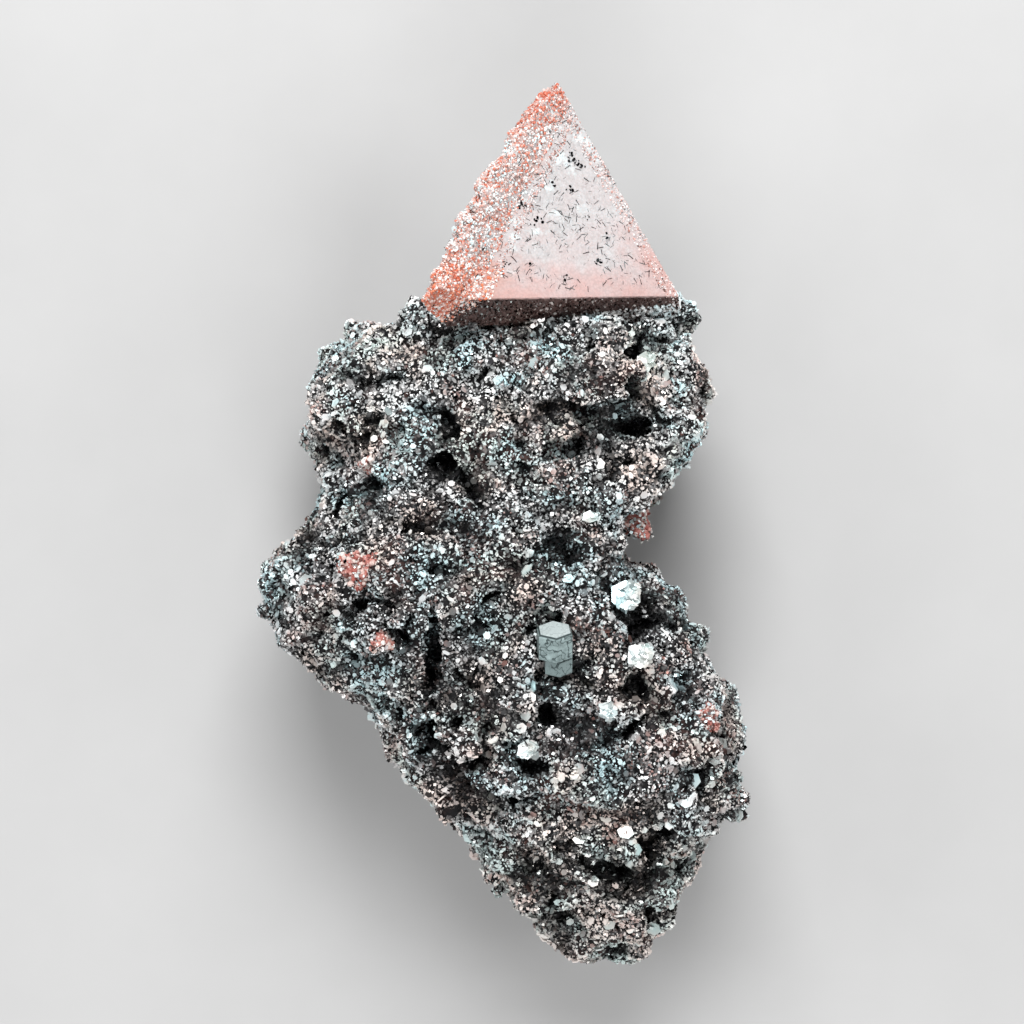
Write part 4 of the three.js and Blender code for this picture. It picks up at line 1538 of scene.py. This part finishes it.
    def build(self) -> bpy.types.Object:
        """Builds the body, its crust and its needles, and sets them on the frame.

        Returns:
            The body.
        """
        body = self.body()
        leftward = self.planes()[Facet.LEFT_BEVEL][0]
        self.relief().run(body, {
            "Crust Height": self.crust_height * MM, "Crust Width": self.crust_width,
            "Crust Direction": tuple(leftward), "Material": self.finish.material()})
        report(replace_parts(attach(body, ROOT), self.node))
        surfaces = {name: self.zone(body.data, f"{name}_zone", keep) for name, keep in self.zones().items()}
        for layer, name in self.layers():
            report(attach(layer.grow(surfaces[name]), ROOT))
        spots = seated("face_spots", self.flecks(), body.data, radius=self.spot_radius, height=0.5, seed=65,
                       finish=self.spot_finish)
        report(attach(spots, ROOT))
        glints = seated("crust_glints", self.glints, body.data, radius=self.glint_radius, height=0.3, seed=73,
                        finish=self.glint_finish)
        report(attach(glints, ROOT))
        return body

    def flecks(self) -> list[Place]:
        """Spreads a few flecks about each dark spot.

        Returns:
            The flecks' places.
        """
        draw = random.Random(self.spot_seed)
        return [(x + draw.gauss(0, self.spot_spread), y + draw.gauss(0, self.spot_spread))
                for x, y in self.spots for _ in range(self.spot_flecks)]


@dataclass(frozen=True)
class PrismRing:
    """One ring of six corners on the prism, in millimetres."""

    height: float
    share: float
    mark: float = 0.0
    slide: float = 0.0

    def corners(self, radius: float) -> list[Vector]:
        """Places the six corners.

        Args:
            radius: the prism's full radius, in millimetres.

        Returns:
            The corners, in metres.
        """
        turns = [i * math.pi / 3 + math.pi / 6 for i in range(6)]
        reach = radius * self.share
        return [Vector((reach * math.cos(turn) + self.slide, reach * math.sin(turn), self.height)) * MM
                for turn in turns]


@dataclass
class PalePrism:
    """The pale six-sided prism, parted across its length."""

    node: str = "prism_crystal"
    slot: str = "pale_prism"
    radius: float = 1.25
    length: float = 3.0
    lean: float = 62.0
    roll: float = 6.0
    parting: float = -0.25
    parting_depth: float = 0.1
    parting_reach: Span = (0.03, 0.09)
    foot_edge: float = 0.08
    foot_share: float = 0.95
    upper_share: float = 0.985
    cap_edge: tuple[Point, ...] = ((0.1, 0.93, 1.0), (0.03, 0.9, 1.0), (0.0, 0.86, 0.0))
    cap_start: float = 0.2
    lower_share: float = 0.8
    lower_slide: float = 0.22
    sunk_shade: float = 0.5
    finish: Finish = field(default_factory=PrismFinish)

    def stations(self) -> list[PrismRing]:
        """Lists the rings of corners from the lower end to the cap.

        Returns:
            The rings. Those below the parting are narrower and lie to the right.
        """
        foot, top, joint = -self.length / 2, self.length / 2, self.parting * self.length / 2
        below, slide, (inner, outer) = self.lower_share, self.lower_slide, self.parting_reach
        lower = [
            PrismRing(foot, self.foot_share * below, 0.0, slide),
            PrismRing(foot + self.foot_edge, below, 0.0, slide), PrismRing(joint - outer, below, 0.0, slide),
            PrismRing(joint - inner, below - self.parting_depth, 1.0, slide)]
        upper = [
            PrismRing(joint + inner, 1 - self.parting_depth, 1.0), PrismRing(joint + outer, self.upper_share),
            PrismRing(top - self.cap_start, self.upper_share)]
        return [*lower, *upper, *(PrismRing(top - down, share, mark) for down, share, mark in self.cap_edge)]

    def build(self) -> bpy.types.Object:
        """Builds the prism and sets it on the frame.

        Returns:
            The prism.
        """
        stations = self.stations()
        shape = bmesh.new()
        rings = [[shape.verts.new(corner) for corner in station.corners(self.radius)] for station in stations]
        for low, high in zip(rings, rings[1:]):
            for i in range(6):
                shape.faces.new((low[i], low[(i + 1) % 6], high[(i + 1) % 6], high[i]))
        shape.faces.new(rings[0][::-1])
        shape.faces.new(rings[-1])
        marks = [station.mark for station in stations for _ in range(6)]
        lean = Matrix.Rotation(math.radians(-self.lean), 4, "X")
        low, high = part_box(self.node)
        roll = Matrix.Rotation(math.radians(self.roll), 4, "Z")
        shape.transform(Matrix.Translation((low + high) / 2) @ lean @ roll)
        mesh = mesh_from(shape, self.node)
        carry(mesh, "parting", marks)
        # Marks the cap ring, which the finish paints lighter as a highlight.
        carry(mesh, "lit_cap", [0.0] * (len(marks) - 6) + [1.0] * 6)
        joint = self.parting * self.length / 2
        # Painted shade on the part below the parting, by its share.
        lower_shade = [self.sunk_shade if station.height < joint else 0.0 for station in stations]
        carry(mesh, "lower_shade", [shade for shade in lower_shade for _ in range(6)])
        mesh.materials.append(self.finish.material())
        piece = piece_from("pale_prism", mesh)
        return report(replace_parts(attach(piece, ROOT), self.node))


@dataclass
class SmallZunyites:
    """The small pink to red crystals in the matrix, each a rough crystal with crumbs on it."""

    nodes: tuple[str, ...] = SMALL_ZUNYITE_NODES
    slot: str = "red_zunyite"
    facet_edge: float = 0.14
    facet_rounds: int = 4
    relief_height: float = 0.9
    relief_size: float = 0.7
    tint: float = 0.3
    gloss: float = 0.5
    notch_node: str = "small_zunyite_2"
    notch_growth: float = 1.3
    notch_shift: Point = (0.2, 0.0, 0.7)
    red_finish: Finish = field(default_factory=lambda: CrumbFinish(name="red_crumbs", stops=(
        (0.0, (0.05, 0.025, 0.02)), (0.22, (0.38, 0.1, 0.08)), (0.45, (0.6, 0.29, 0.25)),
        (0.7, (0.74, 0.56, 0.51)), (1.0, (0.92, 0.88, 0.84)))))

    def build(self, nodes: Mapping[str, bpy.types.Object]) -> list[bpy.types.Object]:
        """Builds the crystals and their crumbs, and sets them on the frame.

        Args:
            nodes: the CAD nodes by name.

        Returns:
            The pieces.
        """
        shape = shape_of(merged_copy(nodes, self.nodes, "small_zunyites"))
        self.bring_out(shape)
        refine(shape, self.facet_edge * MM, self.facet_rounds)
        mesh = mesh_from(shape, "small_zunyites")
        carry(mesh, "tint", [self.tint] * len(mesh.vertices))
        carry(mesh, "gloss", [self.gloss] * len(mesh.vertices))
        body = piece_from("small_zunyites", mesh)
        self.relief().run(body, {"Height": self.relief_height * MM, "Material": self.red_finish.material()})
        crumbs = GrainLayer("small_zunyite_crumbs", GrainShape.CRUMB, density=34, radius=(0.06, 0.24),
                            height=0.9, lean=90, seed=71, finish=self.red_finish, aspect=0.4)
        grown = crumbs.grow(body.data)
        dust = GrainLayer("small_zunyite_flakes", GrainShape.FLAKE, density=14, radius=(0.08, 0.2),
                          height=0.8, lean=60, seed=72, finish=PlateFinish(), lift=0.15, aspect=0.4,
                          clump=0.9)
        report(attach(dust.grow(body.data), ROOT))
        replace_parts(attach(body, ROOT), *self.nodes)
        return [report(body), report(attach(grown, ROOT))]

    def bring_out(self, shape: bmesh.types.BMesh) -> None:
        """Lets the crystal in the notch stand a little further out of the matrix.

        Args:
            shape: the crystals, which are changed.
        """
        low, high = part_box(self.notch_node)
        middle, reach = (low + high) / 2, (high - low).length / 2
        for vertex in shape.verts:
            offset = vertex.co - middle
            if offset.length <= reach:
                vertex.co = middle + offset * self.notch_growth + Vector(self.notch_shift) * MM

    def relief(self) -> Recipe:
        """Draws the tree that roughens the crystals.

        Returns:
            The recipe.
        """
        recipe = Recipe("small_zunyite_relief", ("Height",))
        graph, given = recipe.graph, recipe.given
        height = graph.times(graph.swing(recipe.place(), self.relief_size, detail=3.0), given["Height"])
        moved = graph.moved(given["Geometry"], graph.scaled(recipe.normal(), graph.times(height, 2.0)))
        recipe.close(moved)
        return recipe


@dataclass
class HematiteRosettes:
    """The brightest clusters of hematite tablets, and single bright flakes: their pale colour is a painted
    glint.
    """

    nodes: tuple[str, ...] = ROSETTE_NODES
    slot: str = "bright_hematite"
    flakes: tuple[Place, ...] = (
        (15.4, -18.7), (12.0, -16.0), (11.6, -17.4), (8.4, -20.5), (3.4, -24.1), (6.7, -25.6), (9.7, -26.2),
        (4.7, -19.8), (6.4, -18.4), (7.7, -19.3), (14.0, -13.8), (12.1, -13.5), (9.9, -12.9), (1.2, -11.5),
        (1.6, -9.8), (-11.0, -8.5), (-9.7, -7.1), (-0.2, -0.4), (-0.4, 9.7), (9.5, 11.0), (10.2, 10.2),
        (-7.5, 7.9), (-7.9, 7.0), (1.4, -2.5), (3.9, -2.9), (-12.9, -3.2), (1.9, 10.9), (8.8, -27.2),
        (10.6, -17.5), (13.4, -14.6),
    )
    flake_radius: Span = (0.3, 0.6)
    core_tint: float = 0.5
    core_gloss: float = 0.3
    uneven: float = 0.55
    uneven_size: float = 0.7
    # Painted glint: pale blue-white colours stand in for the light reflected by the hematite; the flakes also
    # tilt mostly towards the key light.
    finish: Finish = field(default_factory=lambda: PlateFinish(
        name="glint_painted_tablets", stops=(
            (0.0, (0.3, 0.36, 0.37)), (0.3, (0.66, 0.76, 0.77)), (1.0, (0.88, 0.93, 0.93))),
        black_below=-0.1, bright_gain=0.0, rust=(0.6, 0.62, 0.6), metallic=0.2, smooth=0.12, rough=0.3))

    def build(self, nodes: Mapping[str, bpy.types.Object],
              ground: bpy.types.Object) -> list[bpy.types.Object]:
        """Builds the rosettes and the flakes, and sets them on the frame.

        Args:
            nodes: the CAD nodes by name.
            ground: the matrix's ground, which the flakes lie on.

        Returns:
            The pieces.
        """
        surface = merged_copy(nodes, self.nodes, "hematite_rosettes")
        self.roughen(surface)
        layer = GrainLayer("hematite_rosettes", GrainShape.TABLET, density=11, radius=(0.12, 0.34),
                           height=0.22, lean=35, seed=81, finish=self.finish, aspect=0.45, clump=0.5)
        cluster = layer.grow(surface)
        carry(surface, "tint", [self.core_tint] * len(surface.vertices))
        carry(surface, "gloss", [self.core_gloss] * len(surface.vertices))
        surface.materials.append(self.finish.material())
        cores = piece_from("rosette_cores", surface)
        report(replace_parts(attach(cores, ROOT), *self.nodes))
        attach(cluster, ROOT)
        flakes = seated("bright_flakes", self.flakes, ground.data, radius=self.flake_radius, height=0.22,
                        seed=82, finish=self.finish)
        return [report(cluster), report(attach(flakes, ROOT))]

    def roughen(self, surface: bpy.types.Mesh) -> None:
        """Makes the round clusters uneven: each vertex sinks inwards, more in some places than in others.

        Args:
            surface: the clusters' mesh.
        """
        shape = shape_of(surface)
        shape.normal_update()
        for vert in shape.verts:
            sink = noise.noise(vert.co / (self.uneven_size * MM)) * 0.5 + 0.5
            vert.co -= vert.normal * sink * self.uneven * MM
        shape.to_mesh(surface)
        shape.free()


@dataclass(frozen=True)
class SoftLight:
    """A square soft light that faces the specimen, with its power in watts."""

    name: str
    place: Point
    side: float
    power: float

    def build(self) -> None:
        """Hangs the light over the specimen."""
        lamp = bpy.data.lights.new(self.name, "AREA")
        lamp.size = self.side * MM
        lamp.energy = self.power
        made = bpy.data.objects.new(self.name, lamp)
        made.location = Vector(self.place) * MM
        made.rotation_euler = (-made.location).to_track_quat("-Z", "Y").to_euler()
        bpy.context.scene.collection.objects.link(made)


@dataclass
class Studio:
    """The plain floor, the soft lights and the camera, which looks straight down at the specimen's front."""

    floor_size: float = 1200.0
    camera_at: Point = (0.376, 1.31, 270.0)
    view_width: float = 67.5
    view_distance: float = 260.0
    sensor: float = 36.0
    nearest: float = 10.0
    world: float = 0.12
    lights: tuple[SoftLight, ...] = (
        SoftLight("key", (0.0, 250.0, 260.0), 230.0, 1.6),
        SoftLight("fill_left", (-320.0, 60.0, 220.0), 200.0, 0.4),
        SoftLight("fill_right", (300.0, -40.0, 240.0), 200.0, 0.35),
        SoftLight("fill_low", (0.0, -300.0, 240.0), 200.0, 0.8),
    )

    def build(self) -> None:
        """Builds the floor, the lights, the world and the camera."""
        self.floor()
        for light in self.lights:
            light.build()
        world = bpy.data.worlds.new("studio")
        world.use_nodes = True
        grey = world.node_tree.nodes["Background"].inputs["Color"]
        grey.default_value = (self.world, self.world, self.world, 1)
        bpy.context.scene.world = world
        bpy.context.scene.view_settings.view_transform = "Standard"
        camera = bpy.data.cameras.new("camera")
        camera.sensor_width = self.sensor
        camera.lens = self.sensor * self.view_distance / self.view_width
        camera.clip_start = self.nearest * MM
        made = bpy.data.objects.new("camera", camera)
        made.location = Vector(self.camera_at) * MM
        bpy.context.scene.collection.objects.link(made)
        bpy.context.scene.camera = made

    def floor(self) -> None:
        """Builds the floor as a plain sheet under the specimen."""
        half = self.floor_size / 2 * MM
        shape = bmesh.new()
        corners = ((-half, -half), (half, -half), (half, half), (-half, half))
        shape.faces.new([shape.verts.new((x, y, 0.0)) for x, y in corners])
        mesh = mesh_from(shape, "floor")
        mesh.materials.append(FloorFinish().material())
        piece_from("floor", mesh)


def report(piece: bpy.types.Object) -> bpy.types.Object:
    """Logs a finished piece.

    Args:
        piece: the piece.

    Returns:
        The piece.
    """
    LOG.info("%s: %d faces", piece.name, len(piece.data.polygons))
    return piece


def main() -> None:
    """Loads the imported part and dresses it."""
    logging.basicConfig(level=logging.INFO, format="%(name)s %(message)s")
    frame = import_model()
    Studio().build()
    ground = HematiteMatrix().build(frame["nodes"])
    ZunyiteCrystal().build()
    PalePrism().build()
    SmallZunyites().build(frame["nodes"])
    HematiteRosettes().build(frame["nodes"], ground)


if __name__ == "__main__":
    main()
